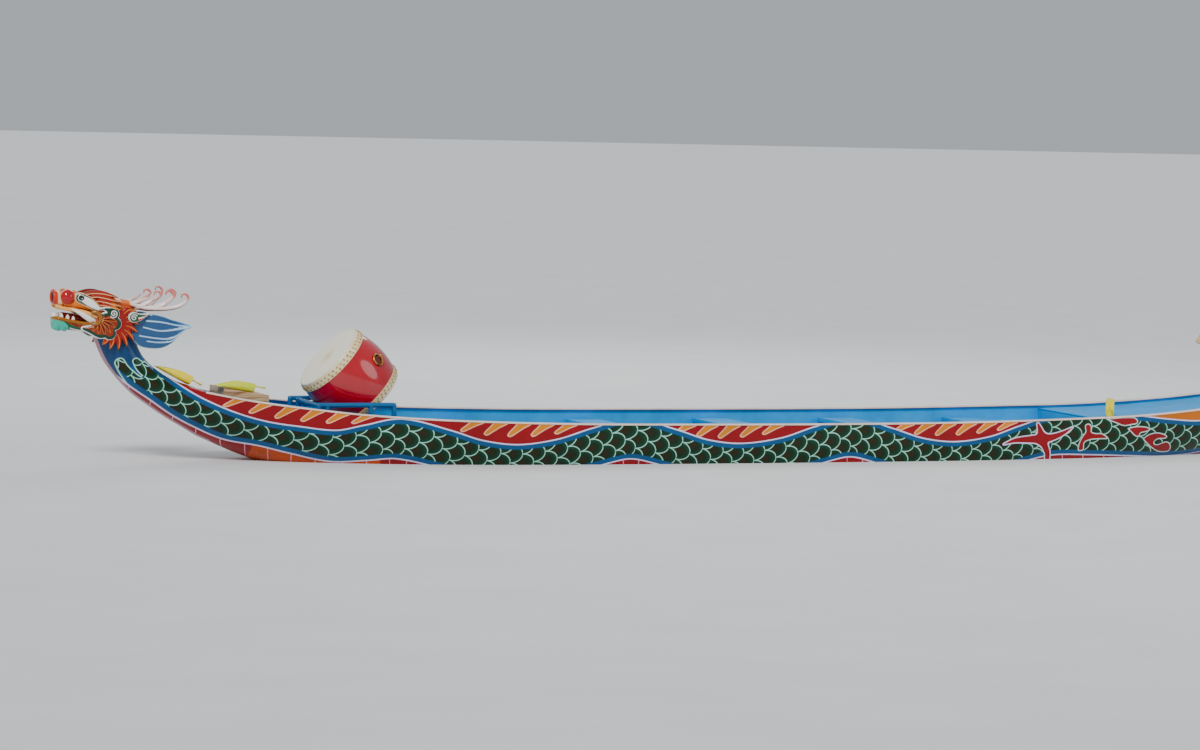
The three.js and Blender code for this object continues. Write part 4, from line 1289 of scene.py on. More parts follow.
def new_tree(name: str, **sizes: float) -> tuple[Tree, dict[str, Socket]]:
    """Start a geometry tree that works along a path.

    Args:
        name: The tree's name.
        sizes: Each size that it takes, with a default.

    Returns:
        The tree, and its inputs by name, with the path as a curve.
    """
    tree = bpy.data.node_groups.new(name, "GeometryNodeTree")
    tree.interface.new_socket("Geometry", in_out="INPUT", socket_type="NodeSocketGeometry")
    for title, default in sizes.items():
        size = tree.interface.new_socket(title, in_out="INPUT", socket_type="NodeSocketFloat")
        size.default_value = default
    tree.interface.new_socket("Finish", in_out="INPUT", socket_type="NodeSocketMaterial")
    tree.interface.new_socket("Geometry", in_out="OUTPUT", socket_type="NodeSocketGeometry")
    given = dict(tree.nodes.new("NodeGroupInput").outputs)
    return tree, {**given, "Path": add_node(tree, "MeshToCurve", {"Mesh": given["Geometry"]}).outputs[0]}


def ended(tree: Tree, geometry: bpy.types.Node, finish: Socket) -> Tree:
    """End a geometry tree.

    Args:
        tree: The tree.
        geometry: The node that has made the form.
        finish: The material for it.

    Returns:
        The tree, its instances made real and its finish set.
    """
    real = add_node(tree, "RealizeInstances", {"Geometry": geometry})
    coated = add_node(tree, "SetMaterial", {"Geometry": real, "Material": finish})
    tree.links.new(coated.outputs[0], tree.nodes.new("NodeGroupOutput").inputs[0])
    return tree


def run_tree(name: str, path: Array, tree: Tree, finish: "Finish", **sizes: float) -> bpy.types.Object:
    """Run a tree on a path and keep the result as a plain mesh.

    Args:
        name: The piece's name.
        path: Points joined by edges in order.
        tree: The tree.
        finish: What the piece is coated with.
        sizes: A value for each named input.

    Returns:
        The finished object.
    """
    data = bpy.data.meshes.new(name)
    data.from_pydata(path.tolist(), [(i, i + 1) for i in range(len(path) - 1)], [])
    piece = linked(name, data)
    modifier = piece.modifiers.new(name, "NODES")
    modifier.node_group = tree
    given = {**sizes, "Finish": finish.material}
    for item in tree.interface.items_tree:
        if item.in_out == "INPUT" and item.name in given:
            modifier[item.identifier] = given[item.name]
    return smoothed(name, settled(piece), 40)


def swept_bar_tree() -> Tree:
    """Sweep a rounded rectangle along a path that keeps its top level.

    Returns:
        The tree.
    """
    tree, given = new_tree("swept_bar", Width=0.036, Height=0.01, Corner=0.003)
    level = add_node(tree, "SetCurveNormal", {"Curve": given["Path"]}, mode="Z_UP")
    section = add_node(tree, "CurvePrimitiveQuadrilateral",
                       {"Width": given["Width"], "Height": given["Height"]})
    rounded = add_node(tree, "FilletCurve", {"Curve": section, "Radius": given["Corner"], "Count": 4},
                       mode="POLY")
    bar = add_node(tree, "CurveToMesh", {"Curve": level, "Profile Curve": rounded, "Fill Caps": True})
    return ended(tree, bar, given["Finish"])


def studs_tree() -> Tree:
    """Set round heads on a path at a pitch.

    Returns:
        The tree.
    """
    tree, given = new_tree("studs", Pitch=0.03, Radius=0.006)
    places = add_node(tree, "CurveToPoints", {"Curve": given["Path"], "Length": given["Pitch"]},
                      mode="LENGTH")
    head = add_node(tree, "MeshUVSphere", {"Segments": 10, "Rings": 6, "Radius": 1.0})
    heads = add_node(tree, "InstanceOnPoints", {"Points": places, "Instance": head, "Scale": given["Radius"]})
    return ended(tree, heads, given["Finish"])


@dataclass
class Gunwales:
    """The cream caps on the shell's edge, with a row of screw heads."""

    inner: float = 30 * MM  # how far the cap reaches in from the gunwale line
    outer: float = 5 * MM  # how far it stands out
    thick: float = 9.4 * MM  # its thickness
    screw_pitch: float = 170 * MM  # distance between screws
    lengths: int = 220  # points along a cap

    def path(self, side: Side, inward: float, up: float) -> Array:
        """A line along the gunwale, moved inward and up."""
        rows = follow(STATIONS, np.linspace(BOW + 4 * MM, STERN - 4 * MM, self.lengths))
        return np.column_stack([rows[:, 0], side.value * (rows[:, 1] - inward), rows[:, 2] + up])

    def build(self) -> None:
        """Make both caps and their screws."""
        bar, studs = swept_bar_tree(), studs_tree()
        for side in Side:
            line = self.path(side, (self.inner - self.outer) / 2, SEAM + self.thick / 2)
            cap = run_tree(f"gunwale_cap_{side.word}", line, bar, Finish.CAP,
                           Width=self.inner + self.outer, Height=self.thick, Corner=3 * MM)
            dressed(cap, Finish.CAP, f"gunwale_{side.word}")
            line = self.path(side, 14 * MM, self.thick - 2.2 * MM)
            screws = run_tree(f"gunwale_screws_{side.word}", line, studs, Finish.STEEL,
                              Pitch=self.screw_pitch, Radius=4.5 * MM)
            dressed(screws, Finish.STEEL)


def softened(node: str, name: str, round_off: float) -> bpy.types.Object:
    """Copy a frame node with its edges rounded.

    Args:
        node: The node.
        name: The new piece's name.
        round_off: Width of the rounded edge.

    Returns:
        The piece, inside the node's own form.
    """
    form = bmesh.new()
    form.from_mesh(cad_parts[node].data)
    bmesh.ops.remove_doubles(form, verts=form.verts, dist=2e-5)
    bmesh.ops.dissolve_limit(form, angle_limit=math.radians(1.5), verts=form.verts, edges=form.edges)
    data = bpy.data.meshes.new(name)
    form.to_mesh(data)
    form.free()
    piece = linked(name, data)
    edge = piece.modifiers.new("edge", "BEVEL")
    edge.width, edge.segments = round_off, 3
    edge.limit_method, edge.angle_limit = "ANGLE", math.radians(28)
    edge.harden_normals = False
    return smoothed(name, settled(piece), 30)


@dataclass
class Drum:
    """The drum: a red barrel with a hide lapped over each end, tacks and ring handles."""

    x: float = -2.528  # its middle along the boat
    z: float = 0.475  # its middle's height
    length: float = 0.350  # height of the barrel
    bulge: float = 0.250  # greatest radius
    end: float = 0.218  # radius at the ends
    wall: float = 18 * MM  # thickness of the staves
    tilt: float = math.radians(42.5)  # angle of its axis above the horizontal, upper skin towards the bow
    lap: float = 42 * MM  # how far a hide reaches down the barrel
    hide: float = 4 * MM  # thickness of the hide
    tacks: int = 46  # number of tacks in a row

    def __post_init__(self) -> None:
        """Find the drum's own directions."""
        self.axis = np.array([-math.cos(self.tilt), 0, math.sin(self.tilt)])
        self.down = np.array([-math.sin(self.tilt), 0, -math.cos(self.tilt)])
        self.middle = np.array([self.x, 0, self.z])
        cross = np.array([0.0, 1.0, 0.0])
        turn = np.column_stack([np.cross(cross, self.axis), cross, self.axis])
        self.place = Matrix.Translation(self.middle) @ Matrix(turn.tolist()).to_4x4()

    def radius(self, along: float) -> float:
        """Radius of the barrel at a distance along its axis."""
        return self.end + (self.bulge - self.end) * (1 - (along / (self.length / 2)) ** 2)

    def barrel(self) -> Shape:
        """Turn the barrel.

        Returns:
            Its wall, with the marks of its staves.
        """
        along = np.linspace(-self.length / 2, self.length / 2, 25)
        outside = [(self.radius(a), a) for a in along]
        inside = [(r - self.wall, a) for r, a in outside[::-1]]
        shape = revolved(outside + inside, 144)
        shape.marks["stave"] = np.arctan2(shape.points[:, 1], shape.points[:, 0]) * self.bulge
        return shape.moved(self.place)

    def skin(self, end: int) -> Shape:
        """Turn one hide: its head and the lap pulled down over the barrel.

        Args:
            end: 1 for the upper hide and -1 for the lower one.

        Returns:
            The hide.
        """
        edge = self.length / 2
        gap = 0.9 * MM
        laps = np.linspace(edge - self.lap, edge - 4 * MM, 7)
        inside = [(self.radius(a) + gap, a) for a in laps]
        outside = [(self.radius(a) + gap + self.hide * 0.8, a) for a in laps]
        top = edge + SEAM + self.hide
        corner = 9 * MM
        reach = self.end + gap + self.hide
        rounded = [
            (reach - corner + corner * math.cos(a), top + 4 * MM - corner + corner * math.sin(a))
            for a in np.linspace(0.1, math.pi / 2, 7)
        ]
        profile = [(0, edge + SEAM), (self.end, edge + SEAM), *inside[::-1], *outside, *rounded,
                   (0, top + 3.4 * MM)]
        shape = revolved([(r, a * end) for r, a in profile], 144)
        shape.marks["head"] = np.hypot(shape.points[:, 0], shape.points[:, 1])
        return shape.moved(self.place)

    def tack_rows(self) -> list[Array]:
        """Lay the circles of tacks, two round each hide's lap.

        Returns:
            The points of each circle.
        """
        rows = []
        for end in (-1, 1):
            for back in (13 * MM, 31 * MM):
                along = end * (self.length / 2 - back)
                radius = self.radius(along) + self.hide + 0.6 * MM
                loop = Shape(np.array([(radius * c, radius * s, along) for c, s in circle(180).T]), [])
                points = loop.moved(self.place).points
                rows.append(np.concatenate([points, points[:1]]))
        return rows

    def outward(self, side: Side) -> Array:
        """The direction from the axis through a ring handle."""
        angle = math.radians(39)
        return np.array([0, side.value * math.cos(angle), 0]) - self.down * math.sin(angle)

    def ring(self, side: Side) -> tuple[Shape, Shape]:
        """Draw a ring handle.

        Args:
            side: The side it hangs on.

        Returns:
            The ring with its stud, and the oval plate behind it.
        """
        out = self.outward(side)
        flank = np.cross(out, self.axis)
        flank *= -1 if flank[2] < 0 else 1
        centre = self.middle + out * (self.bulge + 7 * MM)
        c, s = circle(12)
        rings = []
        for forward, up in circle(48).T:
            spoke = forward * self.axis + up * flank
            rings.append(centre + 34 * MM * spoke + 4.4 * MM * (np.outer(c, spoke) + np.outer(s, out)))
        top = centre + 34 * MM * flank
        stud = tube([(*(top - out * 9 * MM), 10 * MM), (*(top + out * 2 * MM), 9 * MM)], 4, 20)
        plate = ball((0, 0, 0), (40 * MM, 25 * MM, 3 * MM), 0, 48)
        under = self.middle + out * (self.bulge - 0.5 * MM) + flank * 10 * MM
        plate.points = plate.points @ np.array([flank, self.axis, out]) + under
        return hoop(rings).joined(stud), plate

    def build(self) -> None:
        """Make the barrel, hides, tacks and rings."""
        dressed(self.barrel().mesh("drum_shell", 50), Finish.LACQUER, "drum_barrel")
        for end, word in ((1, "upper"), (-1, "lower")):
            piece = self.skin(end).mesh(f"drum_hide_{word}", 50)
            dressed(piece, Finish.HIDE, f"drum_skin_{word}")
        studs = studs_tree()
        pitch = 2 * math.pi * self.radius(self.length / 2 - 22 * MM) / self.tacks
        for n, row in enumerate(self.tack_rows()):
            tacks = run_tree(f"drum_tacks_{n + 1}", row, studs, Finish.BRASS, Pitch=pitch, Radius=5.5 * MM)
            dressed(tacks, Finish.BRASS)
        for side in Side:
            name = f"drum_ring_{side.word}"
            ring, plate = self.ring(side)
            dressed(ring.mesh(f"{name}_hoop"), Finish.BRASS, name)
            dressed(plate.mesh(f"{name}_plate"), Finish.DARK_RED)


@dataclass
class DrumStand:
    """Two side frames of round tube with cross tubes under the drum."""

    drum: Drum  # the drum it carries
    fore: float = -2.800  # its forward uprights
    aft: float = -2.340  # its after uprights
    low: float = 0.1036  # height of the lower tubes
    high: float = 0.335  # height of the top tubes
    half: float = 0.272  # half its width
    tube: float = 15 * MM  # radius of the tube

    def shape(self) -> Shape:
        """Draw the tubes and melt their joints.

        Returns:
            The frame.
        """
        drum, r = self.drum, self.tube
        rest = drum.middle + 0.060 * drum.axis + (drum.radius(0.060) + r + 0.2 * MM) * drum.down
        back = drum.length / 2 + SEAM + drum.hide + 4 * MM + r + SEAM
        stop = drum.middle - back * drum.axis + 0.150 * drum.down
        bars: list[tuple[Sequence[float], Sequence[float], float]] = []
        for y in (-self.half, self.half):
            corners = [(self.fore, y, self.low), (self.fore, y, self.high),
                       (self.aft, y, self.high), (self.aft, y, self.low)]
            bars += [(a, b, r) for a, b in zip(corners, corners[1:] + corners[:1])]
            bars += [((x, y, self.low), (x, y, self.high), r * 0.96) for x in (stop[0], rest[0])]
        for x, z in ((self.fore, self.low), (self.aft, self.low), (rest[0], rest[2]), (stop[0], stop[2])):
            bars.append(((x, -self.half, z), (x, self.half, z), r * 0.98))
        first, *others = [tube([(*a, radius), (*b, radius)], 12, 20) for a, b, radius in bars]
        return fused(first.joined(*others), 5 * MM, 2)

    def build(self) -> None:
        """Make the stand."""
        dressed(self.shape().mesh("stand_frame", 60), Finish.STAND, "drum_stand")


@dataclass
class Boards:
    """Decks, bulkheads, platform, benches, floor and the drummer's seat: boards with worn edges."""

    round_off: float = 3 * MM  # width of a worn edge

    def build(self) -> None:
        """Make every board."""
        for node, name, finish, slot in (
            ("foredeck", "fore_deck_board", Finish.DECK, "deck_paint"),
            ("afterdeck", "after_deck_board", Finish.DECK, "deck_paint"),
            ("fore_bulkhead", "fore_bulkhead_board", Finish.DECK, "deck_paint"),
            ("aft_bulkhead", "aft_bulkhead_board", Finish.DECK, "deck_paint"),
            ("drum_platform", "drum_platform_board", Finish.DECK, "deck_paint"),
            ("drummer_seat", "drummer_seat_box", Finish.WOOD, "wood"),
            *((f"bench_{n}", f"bench_{n}_plank", Finish.DECK, "deck_paint") for n in range(1, 6)),
            ("floorboards", "floor_planks", Finish.PLANKS, "wood"),
        ):
            dressed(softened(node, name, self.round_off), finish, node)


@dataclass
class Steering:
    """The steering arm, yoke, collar and oar."""

    # Width of a worn edge on the arm, the fork, the sleeve and the blade
    worn: tuple[float, float, float, float] = (2 * MM, 1.5 * MM, 1 * MM, 3 * MM)

    def build(self) -> None:
        """Make the four pieces, each on its own body."""
        pieces = (
            ("steering_arm", "bar", Body.BOAT, Finish.STEEL, "fitting_steel"),
            ("steering_yoke", "fork", Body.YOKE, Finish.STEEL, "fitting_steel"),
            ("steering_collar", "sleeve", Body.COLLAR, Finish.STEEL, "fitting_steel"),
            ("steering_oar", "blade", Body.OAR, Finish.OAR, "wood"),
        )
        for worn, (node, form, body, finish, slot) in zip(self.worn, pieces):
            dressed(softened(node, f"{node}_{form}", worn), finish, node, body)


@dataclass
class Bailers:
    """Yellow moulded scoops with ribs along them."""

    length: float = 0.214  # length of a scoop
    half: float = 0.0535  # half its width at the back
    deep: float = 0.0515  # depth at the back
    lip: float = 8 * MM  # depth at the front edge
    wall: float = 2.6 * MM  # thickness
    handle: float = 79 * MM  # length of the handle
    round: int = 61  # points round the U of a section
    # Name, place, then the tip about Y, the roll about X and the turn about Z in degrees
    places: tuple[tuple[str, tuple[float, float, float], float, float, float], ...] = (
        ("neck", (-3.530, -0.072, 0.4433), 27.0, 0.0, 180.0),
        ("deck", (-3.150, -0.094, 0.3990), 8.703, 0.0, 180.0),
        ("stern", (2.318, -0.320, 0.2966), 0.0, 90.0, 62.0),
    )

    def section(self, along: float) -> Array:
        """Draw the closed U of a section: the outer skin with its ribs, then the inner one.

        Args:
            along: Its place along the scoop.

        Returns:
            Rows of y and z.
        """
        share = along / self.length
        rim = self.deep + (self.lip - self.deep) * max(0.0, (share - 0.35) / 0.65) ** 1.3
        turn = np.linspace(-math.pi / 2, math.pi / 2, self.round)
        s, c = np.sin(turn), np.cos(turn)
        half = self.half
        rib = 1.1 * MM * (1 - np.cos(np.clip(s * 5.5, -5.5, 5.5) * 2 * math.pi)) / 2
        y = np.sign(s) * np.abs(s) ** 0.45 * half
        floor = 6 * MM * share**3
        z = floor + (rim - floor) * (1 - np.abs(c) ** 0.45)
        outer = np.column_stack([y, z + np.where(np.abs(s) < 0.93, rib, 0)])
        inner = np.column_stack([y * (1 - self.wall / half), np.minimum(z + self.wall + 1.2 * MM, rim)])
        return np.concatenate([outer, inner[::-1]])

    def shape(self) -> Shape:
        """Draw one scoop.

        Returns:
            Its shell, its back and its rounded handle.
        """
        shell = loft([np.insert(self.section(a), 0, a, axis=1) for a in np.linspace(0, self.length, 40)])
        edge = self.section(0)[:self.round] * (0.985, 1.0)
        back = loft([np.insert(edge, 0, a, axis=1) for a in (0.1 * MM, 3 * MM)])
        c, s = circle(28)
        rings = []
        for a in np.linspace(0, 1, 24):
            size = 1 - 0.35 * math.sin(math.pi * min(a * 1.25, 1))
            if a >= 0.9:
                size = 1 - ((a - 0.9) * 10) ** 2 * 0.45
            rings.append(np.column_stack([
                np.full(28, 2 * MM - (self.handle + 2 * MM) * a),
                13.5 * MM * size * c, self.deep - 15 * MM + 6.5 * MM * size * s]))
        return shell.joined(back, loft(rings))

    def build(self) -> None:
        """Make the three bailers."""
        for name, place, tip, roll, turn in self.places:
            put = Matrix.Translation(place)
            for angle, axis in ((turn, "Z"), (-tip, "Y"), (roll, "X")):
                put = put @ Matrix.Rotation(math.radians(angle), 4, axis)
            piece = self.shape().moved(put).mesh(f"bailer_{name}_scoop")
            finish = Finish.LIME if name == "deck" else Finish.PLASTIC
            dressed(piece, finish, f"bailer_{name}")


# Head: carved and painted wood

# x, underside, top and half width, in mm
SKULL = mm(
    (-4306, 899, 979, 54), (-4288, 890, 972, 60), (-4262, 882, 948, 55), (-4215, 872, 938, 62),
    (-4180, 868, 955, 78), (-4120, 852, 966, 98), (-4070, 824, 962, 110), (-3990, 724, 948, 119),
    (-3905, 724, 923, 118), (-3845, 724, 880, 103), (-3822, 746, 850, 84),
)
JAW = mm(
    (-4316, 798, 824, 36), (-4288, 760, 826, 50), (-4230, 751, 811, 60), (-4160, 744, 798, 74),
    (-4100, 737, 795, 88), (-4040, 730, 799, 98), (-3978, 727, 799, 102),
)
# The bare flesh on the jaw's side: x and z in mm
FLESH = mm((-4240, 795), (-4090, 800), (-4040, 800), (-4040, 752), (-4100, 756), (-4160, 766), (-4215, 782))

# GOLD is darkened as painted shade, for the jaw's lip and the ring at the mouth's corner
CREAM, ORANGE, MAROON, GOLD = 0xF2D3AE, 0xD86C0C, 0x5E0F1A, 0x9A5E1A
DARK_GREEN, TURQUOISE, WHITE, BROWN = 0x123A2A, 0x4DB39C, 0xF4F1EA, 0x7A4A2C


def oval_loft(table: Table, lengths: int, sides: int = 72, square: float = 2.5) -> Shape:
    """Loft ovals through a table.

    Args:
        table: Rows of x, underside, top and half width.
        lengths: Number of ovals.
        sides: Points round one.
        square: How square it is; 2 is an ellipse.

    Returns:
        The closed form.
    """
    x = np.array([row[0] for row in table])
    rows = follow(table, np.linspace(x[0], x[-1], lengths))
    c, s = circle(sides)
    y = np.sign(c) * np.abs(c) ** (2 / square)
    z = 0.5 + 0.5 * np.sign(s) * np.abs(s) ** (2 / square)
    return loft([np.column_stack([np.full(sides, r[0]), y * r[3], r[1] + (r[2] - r[1]) * z]) for r in rows])


def both_sides(*shapes: Shape) -> Shape:
    """Shapes drawn for port, joined with their mirror images."""
    first, *others = [*shapes, *(s.mirrored() for s in shapes)]
    return first.joined(*others)


@dataclass
class Head:
    """The dragon's head, from the open snout to the horns and the gill fins."""

    voxel: float = 3.2 * MM  # grid of the melted forms
    pitch: float = 3 * MM  # grid of the carved plates

    # Skull and jaw

    def skull(self) -> Shape:
        """Melt skull, snout rim, cheekbones and lip ridges together.

        Returns:
            The upper head.
        """
        rim = [
            (-4.309, 0.050 * math.cos(a), 0.939 + 0.036 * math.sin(a), 0.0085)
            for a in np.linspace(0, 2 * math.pi, 25)
        ]
        lip = mm((-4300, -46, 888, 10), (-4262, -53, 876, 11), (-4215, -60, 869, 11),
                 (-4160, -80, 861, 11), (-4105, -98, 843, 12), (-4062, -106, 822, 11))
        bridge = mm((-4296, 0, 972, 10), (-4262, 0, 955, 20), (-4190, 0, 950, 28))
        cheek = ball((-4.035, -0.088, 0.868), (0.062, 0.032, 0.042), 0.3)
        form = oval_loft(SKULL, 90).joined(
            tube(rim, 60, 12), tube(bridge, 14), both_sides(tube(lip, 40, 12), cheek))
        skull = fused(form, self.voxel, 3)
        x, y, z = skull.points.T
        lip_line = np.interp(x, [r[0] for r in lip], [r[2] for r in lip])
        skull.marks = {
            "snout": x + 4.318,
            # Painted shade: near-black red inside the nostril hollow on the snout's front
            "nostril": np.where(x < -4.296, np.hypot(y / 0.050, (z - 0.939) / 0.036) * 0.05 - 0.05, FAR),
            # Dark red under the upper lip inside the mouth, partly its paint and partly painted shade
            "mouth": np.where(x < -4.03, lip_line - 0.010 - z, -FAR),
            "lip": np.where(x < -4.05, np.abs(z - lip_line) - 0.012, FAR),
            # Painted shade: a near-black patch at the mouth's corner, where the gap between the jaws lies
            "corner": np.hypot((x + 4.096) / 0.030, (z - 0.824) / 0.030) * 0.03 - 0.03,
            "crown": x + 4.035 + (0.93 - z) * 0.6,
            "strand": x * 0.42 + z + 0.10 * np.sin((x + 4.1) * 9.0) + 0.02 * np.abs(y),
        }
        return skull

    def jaw(self) -> Shape:
        """Melt jaw, lip and chin tuft together.

        Returns:
            The lower jaw.
        """
        tuft = (mm((-4300, -26, 792, 16), (-4296, -28, 765, 14), (-4280, -26, 752, 8)),
                mm((-4270, -40, 780, 16), (-4262, -42, 760, 13), (-4245, -40, 750, 7)))
        lip = mm((-4308, -20, 822, 10), (-4285, -46, 820, 10), (-4230, -58, 807, 10),
                 (-4160, -72, 795, 10), (-4095, -86, 790, 10))
        form = oval_loft(JAW, 70).joined(both_sides(tube(lip, 40, 12), *(tube(t, 8, 12) for t in tuft)))
        jaw = fused(form, self.voxel, 3)
        jaw.marked(
            # Dark red on the jaw's top inside the mouth, partly its paint and partly painted shade
            gum=lambda x, z: z - 0.818 + (x + 4.29) * 0.15,
            lip=nearest([(r[0], r[2], 9 * MM) for r in lip]),
            chin=nearest(stroke(mm((-4320, 800, 20), (-4290, 780, 34), (-4262, 768, 30), (-4240, 762, 12)))),
            flesh_in=lambda x, z: -polygon_distance(x, z, FLESH),
            flesh=lambda x, z: polygon_distance(x, z, FLESH),
            seam=nearest(stroke(mm((-4235, 768, 0), (-4190, 755, 0), (-4130, 746, 0), (-4060, 738, 0)))),
            beard=lambda x, z: x + 0.8 * z + 0.006 * np.sin(z * 160),
        )
        return jaw

    def nose(self) -> Shape:
        """Melt the two glossy bulbs together.

        Returns:
            The nose.
        """
        bulb = ball((-4.238, -0.044, 0.940), (0.045, 0.043, 0.047), 0, 56)
        bridge = ball((-4.238, 0, 0.946), (0.036, 0.03, 0.034))
        nose = fused(bulb.joined(bulb.mirrored(), bridge), 2.6 * MM, 3)
        # Painted highlight: the balls turn pale near their outline as seen from the side
        return nose.marked(rim=lambda x, z: np.hypot(x + 4.238, z - 0.940) - 0.043)

    # Eye

    def eye(self) -> Shape:
        """Carve one long eye drop, standing proud of the skull.

        Returns:
            The port eye.
        """
        drop = nearest(stroke(mm((-4172, 937, 31), (-4130, 917, 31), (-4088, 887, 22), (-4066, 872, 13))))
        plane = lambda x: -(0.076 + (x + 4.17) * 0.28)
        eye = Relief(
            drop, (-4.21, 0.84), (-4.04, 0.98),
            lambda x, z, d: plane(x) - 0.006 - swell(d, 0.018, 0.030),
            lambda x, z: plane(x) + 0.030, 2.2 * MM).shape()
        return eye.marked(
            edge=drop,
            white=nearest(stroke(mm((-4150, 928, 19), (-4120, 911, 21), (-4088, 888, 14), (-4074, 878, 9)))),
            pupil=lambda x, z: np.hypot(x + 4.170, z - 0.938) - 0.016,
            # Painted highlight: a small pale dot in the pupil
            spark=lambda x, z: np.hypot(x + 4.166, z - 0.935) - 0.007,
        )

    # Hair behind the eye, and the crown

    def brow(self) -> Shape:
        """Carve locks of hair swept back over the eye to the crown.

        Returns:
            The port locks.
        """
        locks = (
            mm((-4156, 957, 7), (-4100, 968, 13), (-4040, 965, 14), (-3965, 945, 4)),
            mm((-4130, 942, 8), (-4085, 948, 13), (-4030, 940, 15), (-3952, 918, 4)),
            mm((-4095, 922, 8), (-4062, 923, 12), (-4015, 913, 14), (-3950, 893, 4)),
            mm((-4068, 902, 8), (-4038, 899, 11), (-4000, 890, 12), (-3955, 874, 4)),
        )
        fine = [stroke(lock) for lock in locks]
        each, whole = nearest(*fine), strokes(locks, 0.012)
        plane = lambda x, z: -(0.086 + (x + 4.13) * 0.22) - (0.94 - z) * 0.25
        brow = Relief(
            whole, (-4.18, 0.85), (-3.89, 0.990),
            lambda x, z, d: plane(x, z) - swell(-np.minimum(each(x, z), 0), 0.013, 0.012),
            lambda x, z: plane(x, z) + 0.030, self.pitch).shape()
        middle = nearest(*(lock * (1, 1, 0) for lock in fine))
        return brow.marked(
            edge=whole,
            # Painted shade in the recessed grooves between the locks
            groove=each,
            streak=lambda x, z: middle(x, z + 0.004),
            crown=lambda x, z: x + 4.000 + (0.90 - z) * 0.5,
        )

    # Cheek and mane

    def mane(self) -> Shape:
        """Carve the fringe of pointed tongues round the cheek.

        Returns:
            The port mane.
        """
        # Each spike's angle in degrees and its reach
        spikes = ((38, 0.124), (19, 0.143), (1, 0.156), (-17, 0.160), (-35, 0.166), (-53, 0.166),
                  (-71, 0.166), (-89, 0.158), (-107, 0.146))
        bend = 6  # degrees that a spike's tip turns clockwise, seen from port
        chains = []
        for angle, reach in spikes:
            a, bent = math.radians(angle), math.radians(angle - bend)
            chains.append(ray((-3.990, 0.806), (a, 0.070, 0.026), (a, 0.110, 0.0175),
                              (bent, reach - 0.002, 0.0015)))
        each = nearest(*chains)
        core = lambda x, z: np.hypot(x + 3.995, z - 0.806) - 0.088
        whole = lambda x, z: np.minimum(core(x, z), each(x, z))
        plate = Relief(
            whole, (-4.11, 0.63), (-3.81, 0.95),
            lambda x, z, d: -0.118 - 0.012 * np.clip((x + 4.05) / 0.2, 0, 1)
            - swell(np.maximum(-each(x, z), np.where(core(x, z) < 0, 0.006, 0)), 0.014, 0.012),
            lambda x, z: -0.098 - 0.013 * np.clip((np.hypot(x + 3.99, z - 0.806) - 0.10) / 0.05, 0, 1),
            2.4 * MM).shape()
        # Painted highlight down each spike's ridge, painted shade in the lower gaps between the spikes
        return plate.marked(edge=whole, valley=each, streak=streaks(chains, 1, 2, 0.6 * MM, 2.8 * MM))

    def cheek(self) -> Shape:
        """Carve the lobed cheek inside the mane, running forward along the jaw.

        Returns:
            The port cheek, with its painted spiral.
        """
        lobes = (mm((-3994, 851, 37), (-3990, 850, 37)), mm((-3982, 796, 40), (-3980, 795, 40)),
                 mm((-4014, 742, 41), (-4012, 741, 41)), mm((-4040, 800, 60), (-4030, 795, 62)),
                 mm((-4150, 764, 14), (-4110, 758, 26), (-4064, 748, 40), (-4050, 755, 45)))
        hearts = (mm((-4058, 792, 42), (-4035, 795, 44), (-3995, 796, 26)),
                 mm((-4050, 780, 30), (-4030, 765, 26), (-4014, 746, 23)),
                 mm((-4160, 779, 4), (-4115, 769, 12), (-4070, 757, 24), (-4050, 770, 30)))
        stem = mm((-4072, 876, 6), (-4040, 878, 11), (-4012, 868, 20))
        base = strokes(lobes, 0.004)
        curl, heart = nearest(stroke(stem)), strokes(hearts, 0.02)
        whole = lambda x, z: np.maximum(
            blended(base(x, z), curl(x, z), 0.012), 0.033 - np.hypot(x + 4.100, z - 0.825))
        # Each painted ray's angle in degrees and its reach
        ends = ((24, 0.078), (1, 0.104), (-20, 0.104), (-41, 0.098), (-62, 0.096), (-84, 0.078),
                (-108, 0.072), (-133, 0.074))
        rays = []
        for turn, reach in ends:
            a = math.radians(turn)
            rays.append(ray((-4.076, 0.818), (a, 0.020, 0.002), (a, 0.6 * reach, 0.0065),
                            (a - 0.1, reach, 0.001)))
        each = nearest(*rays)
        plane = lambda x: -0.120 + 0.42 * np.clip(-4.045 - x, 0, 1)
        plate = Relief(
            whole, (-4.18, 0.68), (-3.93, 0.905),
            lambda x, z, d: plane(x) - 0.010 - swell(d, 0.014, 0.020)
            + 0.003 * np.clip(-each(x, z) / 0.004, 0, 1),
            lambda x, z: plane(x) + 0.020, 2.2 * MM).shape()
        return plate.marked(
            edge=whole,
            heart=heart,
            heart_in=lambda x, z: -heart(x, z),
            ray=each,
            spiral=spiral((-3.992, 0.852), (-2.4, 8.0), 24 * MM, 2.2 * MM),
        )

    def corner(self) -> Shape:
        """Bend the gold ring round the mouth's corner.

        Returns:
            The port ring.
        """
        a = np.linspace(-2.0, 2.0, 17)
        forward, up = np.cos(a), np.sin(a)
        ring = (-4.094 + 0.030 * forward, -0.116 - 0.014 * forward, 0.825 + 0.034 * up, np.full(17, 0.0115))
        return tube(np.column_stack(ring), 40, 12)

    # Ear, fin and horns

